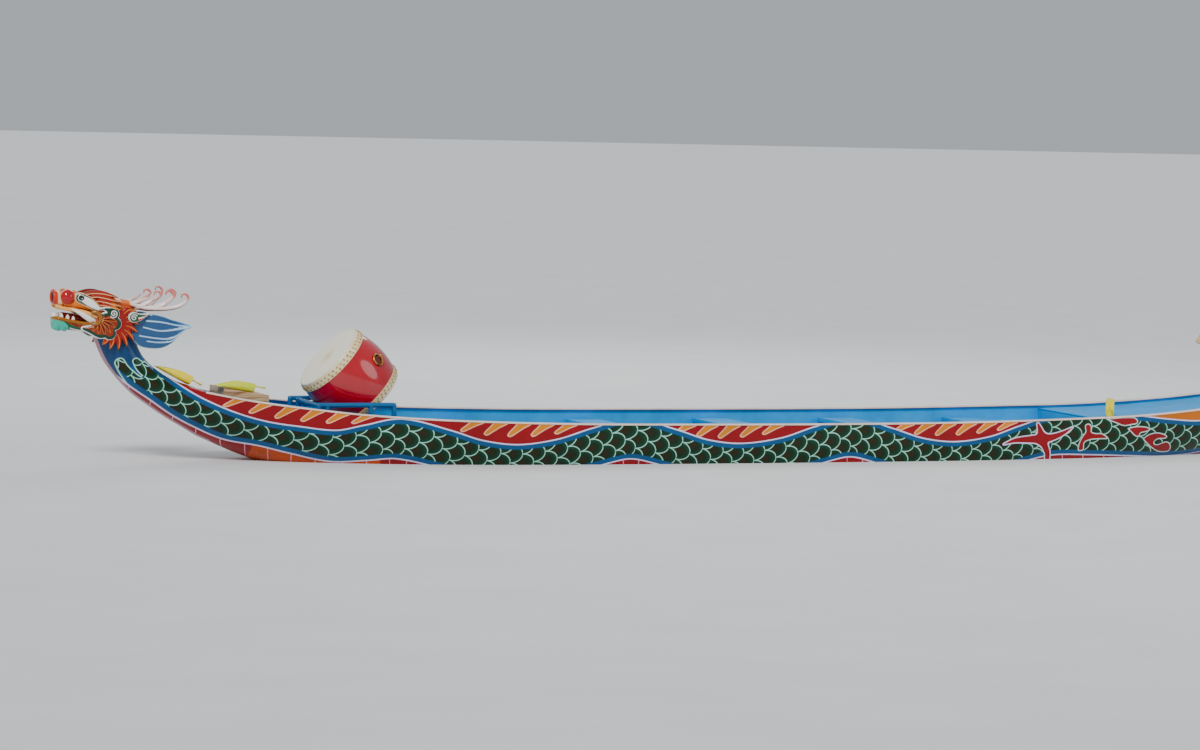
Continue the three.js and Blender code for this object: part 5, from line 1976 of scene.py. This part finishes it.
    def ear(self) -> Shape:
        """Carve one curled ear with its tail.

        Returns:
            The port ear.
        """
        coil = mm((-3878, 832, 29), (-3877.9, 832.1, 29))
        tail = mm((-3872, 848, 12), (-3840, 842, 11), (-3812, 846, 7), (-3789, 855, 2))
        under = mm((-3868, 815, 10), (-3838, 822, 8), (-3806, 842, 4), (-3790, 854, 1))
        whole, red = strokes((coil, tail, under), 0.006), nearest(stroke(under))
        ear = Relief(
            whole, (-3.92, 0.79), (-3.77, 0.88),
            lambda x, z, d: -0.157 - swell(d, 0.012, 0.012), lambda x, z: np.full(np.shape(x), -0.128),
            2 * MM).shape()
        return ear.marked(
            edge=whole,
            spiral=spiral((-3.878, 0.832), (0.5, 9.5), 19 * MM, 1.8 * MM),
            tail=lambda x, z: np.maximum(red(x, z) - 0.001, -3.853 - x),
        )

    def fin(self) -> Shape:
        """Carve one gill fin, splayed from the nape, with pale veins that meet at its tip.

        Returns:
            The port fin.
        """
        border = smooth_path(mm(
            (-3870, 700), (-3872, 800), (-3828, 822), (-3775, 850), (-3716, 842), (-3662, 823),
            (-3600, 806), (-3552, 784), (-3590, 762), (-3622, 730), (-3652, 693), (-3703, 662),
            (-3750, 654), (-3825, 664), (-3870, 700)), 120, places=2)[:-1]
        veins = (
            mm((-3800, 812, 3), (-3718, 806, 3), (-3630, 790, 3), (-3560, 783, 4)),
            mm((-3815, 775, 2.6), (-3730, 757, 3), (-3660, 762, 3), (-3580, 780, 4)),
            mm((-3835, 726, 2.6), (-3745, 714, 3), (-3672, 713, 3), (-3615, 745, 3),
               (-3575, 776, 4)),
            mm((-3795, 696, 2.2), (-3730, 690, 2.6), (-3662, 700, 2.6), (-3618, 738, 3)),
        )
        each = nearest(*(stroke(vein, 24) for vein in veins))
        edge = lambda x, z: polygon_distance(x, z, border)
        lean = lambda x: -0.104 - (x + 3.870) * 0.33
        fin = Relief(
            edge, (-3.90, 0.63), (-3.53, 0.87),
            lambda x, z, d: lean(x) - 0.010 - swell(d, 0.007, 0.012)
            - 0.003 * np.clip(1 - each(x, z) / 0.006, 0, 1),
            lambda x, z: lean(x), self.pitch).shape()
        return fin.marked(edge=edge, vein=each, tip=lambda x, z: np.hypot(x + 3.56, z - 0.783) - 0.055)

    def horn(self) -> Shape:
        """Melt one curling horn and its three branches together.

        Returns:
            The port horn.
        """
        beam = mm((-3920, -52, 912, 19), (-3870, -70, 902, 20), (-3800, -88, 883, 17),
                  (-3740, -104, 879, 14), (-3680, -122, 881, 13), (-3620, -140, 893, 12),
                  (-3578, -152, 918, 10), (-3560, -158, 948, 9), (-3574, -160, 968, 8),
                  (-3597, -160, 964, 6), (-3600, -160, 948, 5))
        branches = (
            mm((-3840, -80, 884, 14), (-3790, -92, 906, 12), (-3742, -104, 934, 10),
               (-3708, -112, 960, 9), (-3720, -112, 978, 7), (-3744, -110, 974, 5.5),
               (-3746, -110, 960, 4.5)),
            mm((-3745, -104, 878, 12), (-3690, -116, 904, 11), (-3645, -130, 940, 9),
               (-3630, -136, 972, 8), (-3648, -134, 993, 6.5), (-3671, -130, 988, 5),
               (-3672, -130, 974, 4)),
            mm((-3880, -72, 905, 13), (-3830, -86, 918, 10), (-3790, -94, 936, 8),
               (-3770, -98, 950, 4)),
        )
        form = tube(beam, 70, 16).joined(*(tube(b, 40, 14) for b in branches))
        horn = fused(form, 2.4 * MM, 2)
        keels = [stroke([(r[0], r[2], 0) for r in part], 160) for part in (beam, *branches)]

        def rise(x: Array, z: Array) -> Array:
            """Find the height over the nearest middle line.

            Args:
                x: Places along the boat.
                z: Heights.

            Returns:
                The heights.
            """
            best, height = np.full(np.shape(x), FAR), np.zeros(np.shape(x))
            for keel in keels:
                for px, pz, _ in keel:
                    gap = np.hypot(x - px, z - pz)
                    height = np.where(gap < best, z - pz, height)
                    best = np.minimum(best, gap)
            return height

        # Painted highlight above each branch's middle line and painted shade in brown below it
        return horn.marked(
            root=lambda x, z: x + 3.880, rise=rise,
            blush=lambda x, z: z - 0.930 + 0.012 * np.sin(x * 90))

    # Mouth

    def teeth(self) -> Shape:
        """Set the lower teeth of one side on their gum.

        Returns:
            The port teeth.
        """
        rows = mm((-4304, 18, 815, 848, 10), (-4270, 40, 812, 846, 11),
                  (-4236, 48, 806, 838, 11), (-4204, 54, 800, 830, 10))
        first, *others = (
            tube(((x, -y, gum, r), (x, -y, tip - 0.012, r), (x, -y, tip - 0.002, r * 0.55)), 8, 14)
            for x, y, gum, tip, r in rows
        )
        return fused(first.joined(*others), 2 * MM, 1)

    def tusk(self) -> Shape:
        """One tusk that rises from the jaw towards the snout."""
        return tube(mm((-4094, -82, 808, 20.5), (-4130, -86, 827, 17.5), (-4170, -82, 851, 12.5),
                       (-4222, -74, 876, 3)), 30, 20)

    def tongue(self) -> Shape:
        """Draw the tongue.

        Returns:
            The closed form.
        """
        form = tube(mm((-4085, 0, 806, 20), (-4150, 0, 814, 21), (-4215, 0, 828, 20),
                       (-4258, 0, 845, 8)), 24, 24)
        form.points = form.points * (1, 1.5, 1)
        return form

    def build(self) -> None:
        """Make every piece of the head."""
        for name, shape, finish, slot, node in (
            ("skull_carved", self.skull(), Finish.SKULL, "head_paint", "head_upper"),
            ("jaw_carved", self.jaw(), Finish.JAW, "jaw_paint", "head_jaw"),
            ("nose_glossy", self.nose(), Finish.NOSE, "red_paint", "nose_bulbs"),
            ("mouth_tongue", self.tongue(), Finish.MOUTH, "red_paint", "tongue"),
        ):
            dressed(shape.mesh(name), finish, node)
        for name, shape, finish, slot, node in (
            ("eye_drop", self.eye(), Finish.EYE, "ivory_paint", "eye"),
            ("brow_locks", self.brow(), Finish.BROW, "head_paint", "brow"),
            ("mane_fringe", self.mane(), Finish.MANE, "head_paint", "cheek_mane"),
            ("cheek_lobes", self.cheek(), Finish.CHEEK, "head_paint", ""),
            ("mouth_corner", self.corner(), Finish.GILT, "head_paint", ""),
            ("ear_curl", self.ear(), Finish.EAR, "jaw_paint", "ear"),
            ("gill_fin_plate", self.fin(), Finish.FIN, "fin_paint", "gill_fin"),
            ("horn_curl", self.horn(), Finish.HORN, "horn_paint", "horn"),
            ("jaw_teeth", self.teeth(), Finish.IVORY, "ivory_paint", "lower_teeth"),
            ("jaw_tusk", self.tusk(), Finish.IVORY, "ivory_paint", "tusk"),
        ):
            for side in Side:
                piece = shape.on(side).mesh(f"{name}_{side.word}")
                dressed(piece, finish, f"{node}_{side.word}" if node else "")


@dataclass
class TailFlame:
    """A carved flame on the tail's tip: tongues of x, z and radius."""

    tongues: tuple[Table, ...] = (
        mm((4185, 885, 38), (4120, 945, 26), (4127, 1008, 4)),
        mm((4190, 890, 42), (4160, 1010, 32), (4196, 1088, 4)),
        mm((4200, 890, 40), (4235, 1000, 28), (4278, 1050, 4)),
        mm((4205, 885, 36), (4290, 950, 24), (4350, 966, 4)),
        mm((4210, 878, 30), (4300, 885, 18), (4364, 878, 3)),
    )

    def shape(self) -> Shape:
        """Carve both faces of the flame.

        Returns:
            The flame.
        """
        fine = [stroke(t, 30) for t in self.tongues]
        whole = nearest(*fine)
        half = Relief(whole, (4.08, 0.82), (4.38, 1.10),
                      lambda x, z, d: -0.004 - swell(-whole(x, z), 0.009, 0.018),
                      lambda x, z: np.zeros(np.shape(x)), 3 * MM).shape()
        half.marked(edge=whole, streak=streaks(fine, 6, 2, 1 * MM, 6 * MM))
        return half.joined(half.mirrored())

    def build(self) -> None:
        """Make the flame."""
        dressed(self.shape().mesh("tail_flame_carved"), Finish.FLAME, "tail_flame")


# The other finishes, and the list of all of them


@dataclass(frozen=True)
class StudioPaper(Coating):
    """A matt pale floor with faint clouds."""

    def surface(self, tree: Tree, place: Socket) -> dict[str, object]:
        """Work out the clouds.

        Args:
            tree: The material's tree.
            place: Object coordinates.

        Returns:
            The shader's inputs by name.
        """
        cloud = add_node(tree, "TexNoise", {"Vector": place, "Scale": 1.5, "Detail": 3.0})
        tone = add_node(tree, "MapRange", {0: cloud, 1: 0.3, 2: 0.7, 3: 0.74, 4: 0.78})
        return {"Base Color": tone, "Roughness": 0.7}


@dataclass(frozen=True)
class VarnishedWood(Coating):
    """Pine or ash under a thin varnish: long brown grain, a soft shine and grey wear."""

    light: int  # its pale wood
    dark: int  # its grain
    ring_mm: float = 9.0  # distance between grain lines
    plank_mm: float = 0.0  # width of a plank, or 0 for a single board
    slope: float = 0.0  # angle in degrees at which the grain falls towards the stern

    def surface(self, tree: Tree, place: Socket) -> dict[str, object]:
        """Work out the grain, the wear and the planks.

        Args:
            tree: The material's tree.
            place: Object coordinates.

        Returns:
            The shader's inputs by name.
        """
        along = (0, math.radians(self.slope), 0)
        drawn = add_node(tree, "Mapping", {"Vector": place, "Rotation": along, "Scale": (16.0, 1.0, 1.6)},
                         vector_type="TEXTURE")
        rings = add_node(tree, "TexNoise",
                         {"Vector": drawn, "Scale": 1000 / self.ring_mm, "Detail": 6.0, "Distortion": 0.6})
        grain = add_node(tree, "ValToRGB", {"Fac": rings}, stops=((0.36, self.dark), (0.62, self.light)))
        worn = add_node(tree, "TexNoise", {"Vector": place, "Scale": 11.0, "Detail": 6.0})
        share = add_node(tree, "MapRange", {0: worn, 1: 0.52, 2: 0.75, 3: 0.0, 4: 0.5})
        colour = add_node(tree, "Mix", {0: share, 6: grain, 7: linear(0x9A8D7C)}, data_type="RGBA").outputs[2]
        if self.plank_mm:
            colour = self.planked(tree, place, colour)
        rough = add_node(tree, "MapRange", {0: worn, 1: 0.3, 2: 0.75, 3: 0.28, 4: 0.62})
        bump = add_node(tree, "Bump", {"Height": rings, "Strength": 0.35, "Distance": 0.6 * MM})
        return {
            "Base Color": colour, "Roughness": rough, "Normal": bump,
            "Coat Weight": 0.25, "Coat Roughness": 0.15,
        }

    def planked(self, tree: Tree, place: Socket,
                wood: Socket) -> Socket:
        """Part the wood into planks along the boat, each of its own tone, with dark seams.

        Args:
            tree: The material's tree.
            place: Object coordinates.
            wood: The wood's colour.

        Returns:
            The colour of the planks.
        """
        width = self.plank_mm * MM
        across = add_node(tree, "SeparateXYZ", {"Vector": place}).outputs["Y"]
        steps = (
            ("count", "DIVIDE", "y", width), ("plank", "FLOOR", "count"),
            ("share", "SUBTRACT", "count", "plank"), ("off", "SUBTRACT", "share", 0.5),
            ("side", "ABSOLUTE", "off"),
            ("gap", "SUBTRACT", "side", 0.5 - 2.5 * MM / width), ("dark", "MULTIPLY", "gap", width / MM),
            ("low", "MAXIMUM", "dark", 0.0), ("seam", "MINIMUM", "low", 1.0))
        values = worked_out(tree, {"y": across}, steps)
        each = add_node(tree, "TexWhiteNoise", {"W": values["plank"]}, noise_dimensions="1D")
        tone = add_node(tree, "MapRange", {0: each, 1: 0.0, 2: 1.0, 3: 0.78, 4: 1.12})
        toned = add_node(tree, "HueSaturation", {"Value": tone, "Color": wood})
        seamed = add_node(tree, "Mix", {0: values["seam"], 6: toned, 7: linear(0x1C120A)}, data_type="RGBA")
        return seamed.outputs[2]


@dataclass(frozen=True)
class DrumHide(Coating):
    """Stretched rawhide: cream skin, yellower where it is struck and lapped, with faint fibres."""

    pale: int  # the clean skin
    worn: int  # the skin at the middle of the head and where it bends down the barrel

    def surface(self, tree: Tree, place: Socket) -> dict[str, object]:
        """Work out the skin's tone and fibres.

        Args:
            tree: The material's tree.
            place: Object coordinates.

        Returns:
            The shader's inputs by name.
        """
        away = add_node(tree, "Attribute", attribute_name="head").outputs["Fac"]
        cloud = add_node(tree, "TexNoise", {"Vector": place, "Scale": 22.0, "Detail": 7.0})
        steps = (("shift", "MULTIPLY", "cloud", 0.06), ("place", "ADD", "away", "shift"))
        values = worked_out(tree, {"away": away, "cloud": cloud}, steps)
        stops = ((0.02, self.worn), (0.10, self.pale), (0.235, self.pale), (0.262, self.worn))
        tone = add_node(tree, "ValToRGB", {"Fac": values["place"]}, stops)
        fibre = add_node(tree, "TexNoise", {"Vector": place, "Scale": 260.0, "Detail": 4.0})
        bump = add_node(tree, "Bump", {"Height": fibre, "Strength": 0.3, "Distance": 0.4 * MM})
        rough = add_node(tree, "MapRange", {0: cloud, 1: 0.3, 2: 0.7, 3: 0.42, 4: 0.62})
        return {
            "Base Color": tone, "Roughness": rough, "Normal": bump,
            "Subsurface Weight": 0.12, "Subsurface Radius": (0.006, 0.003, 0.002), "Subsurface Scale": 1.0,
        }


@dataclass(frozen=True)
class BareMetal(Coating):
    """Worn fittings metal: a clean sheen broken by dull patches and fine scratches."""

    colour: int  # its sRGB hex colour
    tarnish: int  # the colour of its dull patches
    rough: float = 0.3  # roughness where it is clean

    def surface(self, tree: Tree, place: Socket) -> dict[str, object]:
        """Work out the patches and scratches.

        Args:
            tree: The material's tree.
            place: Object coordinates.

        Returns:
            The shader's inputs by name.
        """
        patch = add_node(tree, "TexNoise", {"Vector": place, "Scale": 34.0, "Detail": 8.0})
        share = add_node(tree, "MapRange", {0: patch, 1: 0.48, 2: 0.68, 3: 0.0, 4: 1.0})
        colour = add_node(tree, "Mix", {0: share, 6: linear(self.colour), 7: linear(self.tarnish)},
                          data_type="RGBA")
        rough = add_node(tree, "MapRange", {0: share, 1: 0.0, 2: 1.0, 3: self.rough, 4: self.rough + 0.3})
        drawn = add_node(tree, "Mapping", {"Vector": place, "Scale": (0.05, 1.0, 1.0)})
        scratch = add_node(tree, "TexNoise", {"Vector": drawn, "Scale": 900.0, "Detail": 2.0})
        bump = add_node(tree, "Bump", {"Height": scratch, "Strength": 0.15, "Distance": 0.1 * MM})
        return {"Base Color": colour.outputs[2], "Metallic": 0.95, "Roughness": rough, "Normal": bump}


@dataclass(frozen=True)
class MouldedPlastic(Coating):
    """Moulded polythene: a waxy even colour with scuffs that turn it paler and duller."""

    colour: int  # its sRGB hex colour
    scuffed: int  # its colour where it is scuffed
    rib_mm: float = 26.0  # distance between the ribs moulded round it

    def surface(self, tree: Tree, place: Socket) -> dict[str, object]:
        """Work out the scuffs and the moulded ribs.

        Args:
            tree: The material's tree.
            place: Object coordinates.

        Returns:
            The shader's inputs by name.
        """
        scuffs = add_node(tree, "TexNoise", {"Vector": place, "Scale": 60.0, "Detail": 8.0})
        share = add_node(tree, "MapRange", {0: scuffs, 1: 0.52, 2: 0.72, 3: 0.0, 4: 0.6})
        colour = add_node(tree, "Mix", {0: share, 6: linear(self.colour), 7: linear(self.scuffed)},
                          data_type="RGBA")
        rough = add_node(tree, "MapRange", {0: share, 1: 0.0, 2: 0.6, 3: 0.33, 4: 0.55})
        # A wave texture of scale 1 has a band every pi / 10 metres.
        ribs = add_node(tree, "TexWave",
                        {"Vector": place, "Scale": math.pi / 20 / (self.rib_mm * MM), "Distortion": 0.0},
                        wave_type="BANDS", bands_direction="Z", wave_profile="SIN")
        bump = add_node(tree, "Bump", {"Height": ribs.outputs["Fac"], "Strength": 0.5, "Distance": 1.5 * MM})
        return {
            "Base Color": colour.outputs[2], "Roughness": rough, "Normal": bump,
            "Subsurface Weight": 0.1, "Subsurface Radius": (0.004, 0.003, 0.001), "Subsurface Scale": 1.0,
        }


@dataclass(frozen=True)
class CarvingEnamel(Enamel):
    """The same enamel on carved wood: a little glossier, with a softer reflection below its coat."""

    gloss: float = 0.28
    coat: float = 0.32
    shine: float = 0.25


class Finish(Enum):
    """The finishes of the boat, and the floor's."""

    # The scaled dragon under one clear gloss, with slow changes of tone and faint brush marks
    HULL = Enamel("boat enamel, painted dragon", RED, DRAGON_LAYERS, scales=True, coat=0.14, shine=0.2)
    # A pale, half-gloss edge that reads as one clean line
    CAP = Enamel("boat enamel, cream cap", 0xE6D3C6, gloss=0.38)
    # Flat sky blue, worn nearly matt by feet
    DECK = Enamel("deck enamel, sky blue", SKY, gloss=0.45, coat=0.1, brush_mm=9, tone=0.1, shine=0.2)
    # Smooth tube: even blue with a tight highlight along it
    STAND = Enamel("tube enamel, blue", 0x125E92, gloss=0.28, brush_mm=3)
    # Deep wet red, with a thin dark joint between the staves
    LACQUER = Enamel(
        "drum lacquer, red", 0xB00A1E, (Layer("stave", -0.5 * MM, 0.5 * MM, 0x7E0A18, period=98 * MM),),
        gloss=0.16, coat=0.9, brush_mm=14, tone=0.08)
    # A darker, glossy plate that sets the brass off
    DARK_RED = Enamel("plate lacquer, dark red", 0x5C0A14, gloss=0.2, coat=0.7)
    # Orange with hair strands and a striped snout; painted shade in the nostril hollow and at the mouth's
    # corner, and dark red under the lip, partly paint and partly painted shade
    SKULL = CarvingEnamel("carving enamel, skull", ORANGE, (
        Layer("strand", -9 * MM, 9 * MM, 0xB8430A, period=38 * MM, soft=3 * MM),
        Layer("crown", -FAR, 0.0, 0xD87A36, soft=18 * MM),
        Layer("snout", 24 * MM, 46 * MM, CREAM, soft=4 * MM),
        Layer("snout", 50 * MM, 60 * MM, BROWN, soft=4 * MM),
        Layer("snout", -FAR, 22 * MM, 0xC8371C, soft=3 * MM),
        Layer("nostril", -FAR, -10 * MM, 0x3E070C, soft=3 * MM),
        Layer("mouth", 0.0, FAR, MAROON, soft=2 * MM),
        Layer("corner", -FAR, 0.0, 0x240A0C, soft=2 * MM),
        Layer("lip", -FAR, 0.0, 0xF0B87C, soft=2 * MM),
        Layer("lip", 1 * MM, 6 * MM, 0xA5431C, soft=1.5 * MM)))
    # Dark green with bare red flesh, a gold lip darkened as painted shade and a tufted chin; its top inside
    # the mouth is dark red, partly paint and partly painted shade
    JAW = CarvingEnamel("carving enamel, jaw", 0x14583C, (
        Layer("flesh", -FAR, 0.0, 0x94300E, soft=2 * MM),
        Layer("beard", -5 * MM, 5 * MM, MAROON, period=30 * MM, soft=2 * MM, within="flesh_in"),
        Layer("seam", -FAR, 3 * MM, WHITE),
        Layer("chin", -FAR, 4 * MM, DARK_GREEN, soft=1 * MM),
        Layer("chin", -FAR, -2 * MM, TURQUOISE, soft=2 * MM),
        Layer("gum", 0.0, FAR, MAROON, soft=2 * MM),
        Layer("lip", -FAR, 3 * MM, GOLD, soft=1.5 * MM)))
    # Two wet red balls, pale towards their outline as a painted highlight
    NOSE = Enamel("carving enamel, nose", 0xB00A12, (Layer("rim", 0.0, FAR, 0xF2C0A0, soft=2 * MM),),
                  gloss=0.12, coat=0.8, shine=0.2)
    # Dark wet red
    MOUTH = Enamel("carving enamel, tongue", 0x8E1420, gloss=0.25, coat=0.6)
    # A hard bright drop, its pupil ringed in white and lit by a painted highlight
    EYE = Enamel("carving enamel, eye", CREAM, (
        Layer("edge", -FAR, -5 * MM, 0x0E2E24),
        Layer("white", -FAR, 0.0, WHITE),
        Layer("pupil", -FAR, 3 * MM, WHITE),
        Layer("pupil", -FAR, 0.0, 0x14201C),
        Layer("spark", -FAR, -4 * MM, 0xD8E8E0)), gloss=0.1, coat=0.9, tone=0.04)
    # Pale streaks on dark red locks, painted shade in the grooves between them, orange at the crown
    BROW = CarvingEnamel("carving enamel, locks", 0xA02712, (
        Layer("crown", 0.0, FAR, ORANGE, soft=14 * MM),
        Layer("streak", -FAR, 2.5 * MM, 0xE6BC98),
        Layer("groove", -1.5 * MM, FAR, 0x5E1210, soft=1.5 * MM)))
    # A fiery fringe, its red darkened as painted shade, with an orange streak down each spike's ridge as a
    # painted highlight and painted shade between the spikes
    MANE = CarvingEnamel("carving enamel, mane", 0x920F06, (
        Layer("valley", 2 * MM, FAR, 0x620A06, soft=3 * MM),
        Layer("streak", -FAR, 1 * MM, 0xDC761C, soft=1.2 * MM),
        Layer("edge", -2 * MM, FAR, 0xBA461A, soft=1 * MM)))
    # Dark green lobes edged in white, with a rayed heart whose reds are darkened as painted shade
    CHEEK = CarvingEnamel("carving enamel, cheek", 0x0A3826, (
        Layer("heart", -FAR, 0.0, 0x8C2A0A, soft=1.5 * MM),
        Layer("ray", -2.5 * MM, 2.5 * MM, 0xC87038, soft=1.2 * MM, within="heart_in"),
        Layer("ray", -FAR, -0.4 * MM, 0x560A14, soft=1 * MM, within="heart_in"),
        Layer("edge", -5 * MM, FAR, WHITE),
        Layer("spiral", -FAR, 0.4 * MM, WHITE)))
    # Plain gold paint, not metal, darkened as painted shade
    GILT = Enamel("carving enamel, gold", GOLD, gloss=0.25, coat=0.6, brush_mm=3)
    # Green, edged in white, with a white coil and a red tail
    EAR = CarvingEnamel("carving enamel, ear", 0x0E5034, (
        Layer("tail", -FAR, 0.0, 0xC8241C),
        Layer("edge", -4 * MM, FAR, WHITE),
        Layer("spiral", -FAR, 0.5 * MM, WHITE)))
    # Slate blue with pale veins, lighter at the tip
    FIN = Enamel("carving enamel, gill fin", 0x33557C, (
        Layer("tip", -FAR, 0.0, 0x5680AC, soft=30 * MM),
        Layer("vein", -FAR, 0.8 * MM, 0xB9D6F0),
        Layer("edge", -3.5 * MM, FAR, 0x9CC2DE, soft=1.2 * MM)), coat=0.45)
    # Cream, blushing above, orange at its root, with a painted highlight along the top of each branch and
    # painted shade in brown along its underside
    HORN = Enamel("carving enamel, horn", 0xF2DDD8, (
        Layer("blush", 0.0, FAR, 0xD88A80, soft=16 * MM),
        Layer("rise", 6 * MM, FAR, 0xF7EFEA, soft=4 * MM),
        Layer("rise", -FAR, -6 * MM, 0x7A4840, soft=5 * MM),
        Layer("root", -FAR, 0.0, ORANGE, soft=10 * MM)), coat=0.5, brush_mm=4, tone=0.14)
    # Clean wet white
    IVORY = Enamel("carving enamel, ivory", WHITE, gloss=0.2, coat=0.6, tone=0.05)
    # Red tongues with a yellow streak and a pale edge
    FLAME = CarvingEnamel("carving enamel, tail flame", 0xD8431A, (
        Layer("streak", -FAR, 1.5 * MM, 0xF0A030, soft=2 * MM),
        Layer("edge", -4 * MM, FAR, PEACH)))
    # Warm straight grain, greyed where hands and weather reach it
    WOOD = VarnishedWood("varnished pine, boards", 0xC9A272, 0x8A5A30)
    # The same, parted into planks of differing tone by dark seams
    PLANKS = VarnishedWood("varnished pine, floor planks", 0xC29A68, 0x7E5028, plank_mm=108)
    # Paler, finer grain that runs down the shaft
    OAR = VarnishedWood("varnished ash, oar", 0xD9B683, 0xA87B48, ring_mm=6, slope=30)
    # Cream, yellower where it is struck and lapped
    HIDE = DrumHide("drum rawhide", 0xF5EFDC, 0xE2CD9C)
    # Warm small glints among brown tarnish
    BRASS = BareMetal("tack brass", 0xC9A24A, 0x6E5424)
    # A cool sheen broken by dull patches
    STEEL = BareMetal("stainless steel", 0xB8BCC0, 0x9CA0A4)
    # Waxy strong yellow with paler scuffs
    PLASTIC = MouldedPlastic("moulded polythene, yellow", 0xF2DC10, 0xF0E488)
    # The same, greener
    LIME = MouldedPlastic("moulded polythene, lime yellow", 0xD8E020, 0xE6EC90)
    # A quiet pale ground
    FLOOR = StudioPaper("studio floor")

    @property
    def material(self) -> bpy.types.Material:
        """The finish's material, made when it is first asked for."""
        return bpy.data.materials.get(self.value.name) or self.value.made()


# Stage


def waterline(inset: float = 4 * MM) -> Array:
    """Find the hull's outline at the waterline, a little inside its skin.

    Args:
        inset: How far inside the skin it lies.

    Returns:
        Its corners, x and y.
    """
    rows = follow(STATIONS, np.linspace(BOW, STERN, 400))
    rows = rows[rows[:, 3] < -2 * MM]
    drop = rows[:, 2] / (rows[:, 2] - rows[:, 3])
    half = rows[:, 1] * (1 - drop ** rows[:, 4]) ** (1 / rows[:, 4]) - inset
    rows, half = rows[half > 0], half[half > 0]
    port, starboard = np.column_stack([rows[:, 0], -half]), np.column_stack([rows[:, 0], half])
    return np.concatenate([port, starboard[::-1]])


def studio() -> None:
    """Set a pale floor round the hull at the waterline, soft light and the photograph's camera."""
    reach = 120.0
    corners = [Vector((x * reach, y * reach, 0)) for x, y in ((-1, -1), (1, -1), (1, 1), (-1, 1))]
    hole = [Vector((x, y, 0)) for x, y in waterline()]
    faces = tessellate_polygon([corners, hole])
    floor = bpy.data.meshes.new("floor")
    floor.from_pydata([tuple(p) for p in corners + hole], [], [tuple(f) for f in faces])
    floor.materials.append(Finish.FLOOR.material)
    linked("floor", floor)

    world = bpy.data.worlds.new("studio")
    world.use_nodes = True
    sky = world.node_tree.nodes["Background"]
    sky.inputs["Color"].default_value = linear(0xDDE4EA)
    sky.inputs["Strength"].default_value = 0.6
    bpy.context.scene.world = world

    for name, kind, place, size, power in (
        ("key", "SUN", (-5.0, -6.5, 8.0), 0.3, 2.5),
        ("fill", "AREA", (6.0, -9.0, 5.0), 7.0, 260.0),
        ("rim", "AREA", (2.0, 8.0, 7.0), 6.0, 260.0),
    ):
        light = bpy.data.lights.new(name, kind)
        light.energy = power
        if kind == "SUN":
            light.angle = size
        else:
            light.shape, light.size = "DISK", size
        lamp = linked(name, light)
        lamp.location = place
        lamp.rotation_euler = (Vector((0, 0, 0.3)) - Vector(place)).to_track_quat("-Z", "Y").to_euler()

    view = bpy.data.cameras.new("camera")
    view.lens, view.sensor_width, view.clip_end = 126, 36, 500
    camera = linked("camera", view)
    camera.matrix_world = Matrix((
        (0.92755017, 0.00185144, -0.37369407, -10.34666659),
        (-0.37278518, 0.07446097, -0.92492528, -23.26791822),
        (0.02611318, 0.99722221, 0.06975647, 2.24173036),
        (0, 0, 0, 1),
    ))
    bpy.context.scene.camera = camera


def main() -> None:
    """Build the boat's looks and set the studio."""
    logging.basicConfig(level=logging.INFO, format="%(name)s: %(message)s")
    dragon, drum = DragonBody(), Drum()
    Hull(dragon).build()
    Stem("neck_stem", "neck", NECK).build(dragon)
    Stem("tail_stem_painted", "tail_stem", TAIL).build(dragon)
    for part in (Gunwales(), Head(), TailFlame(), drum, DrumStand(drum), Boards(), Steering(), Bailers()):
        part.build()
    studio()


if __name__ == "__main__":
    main()
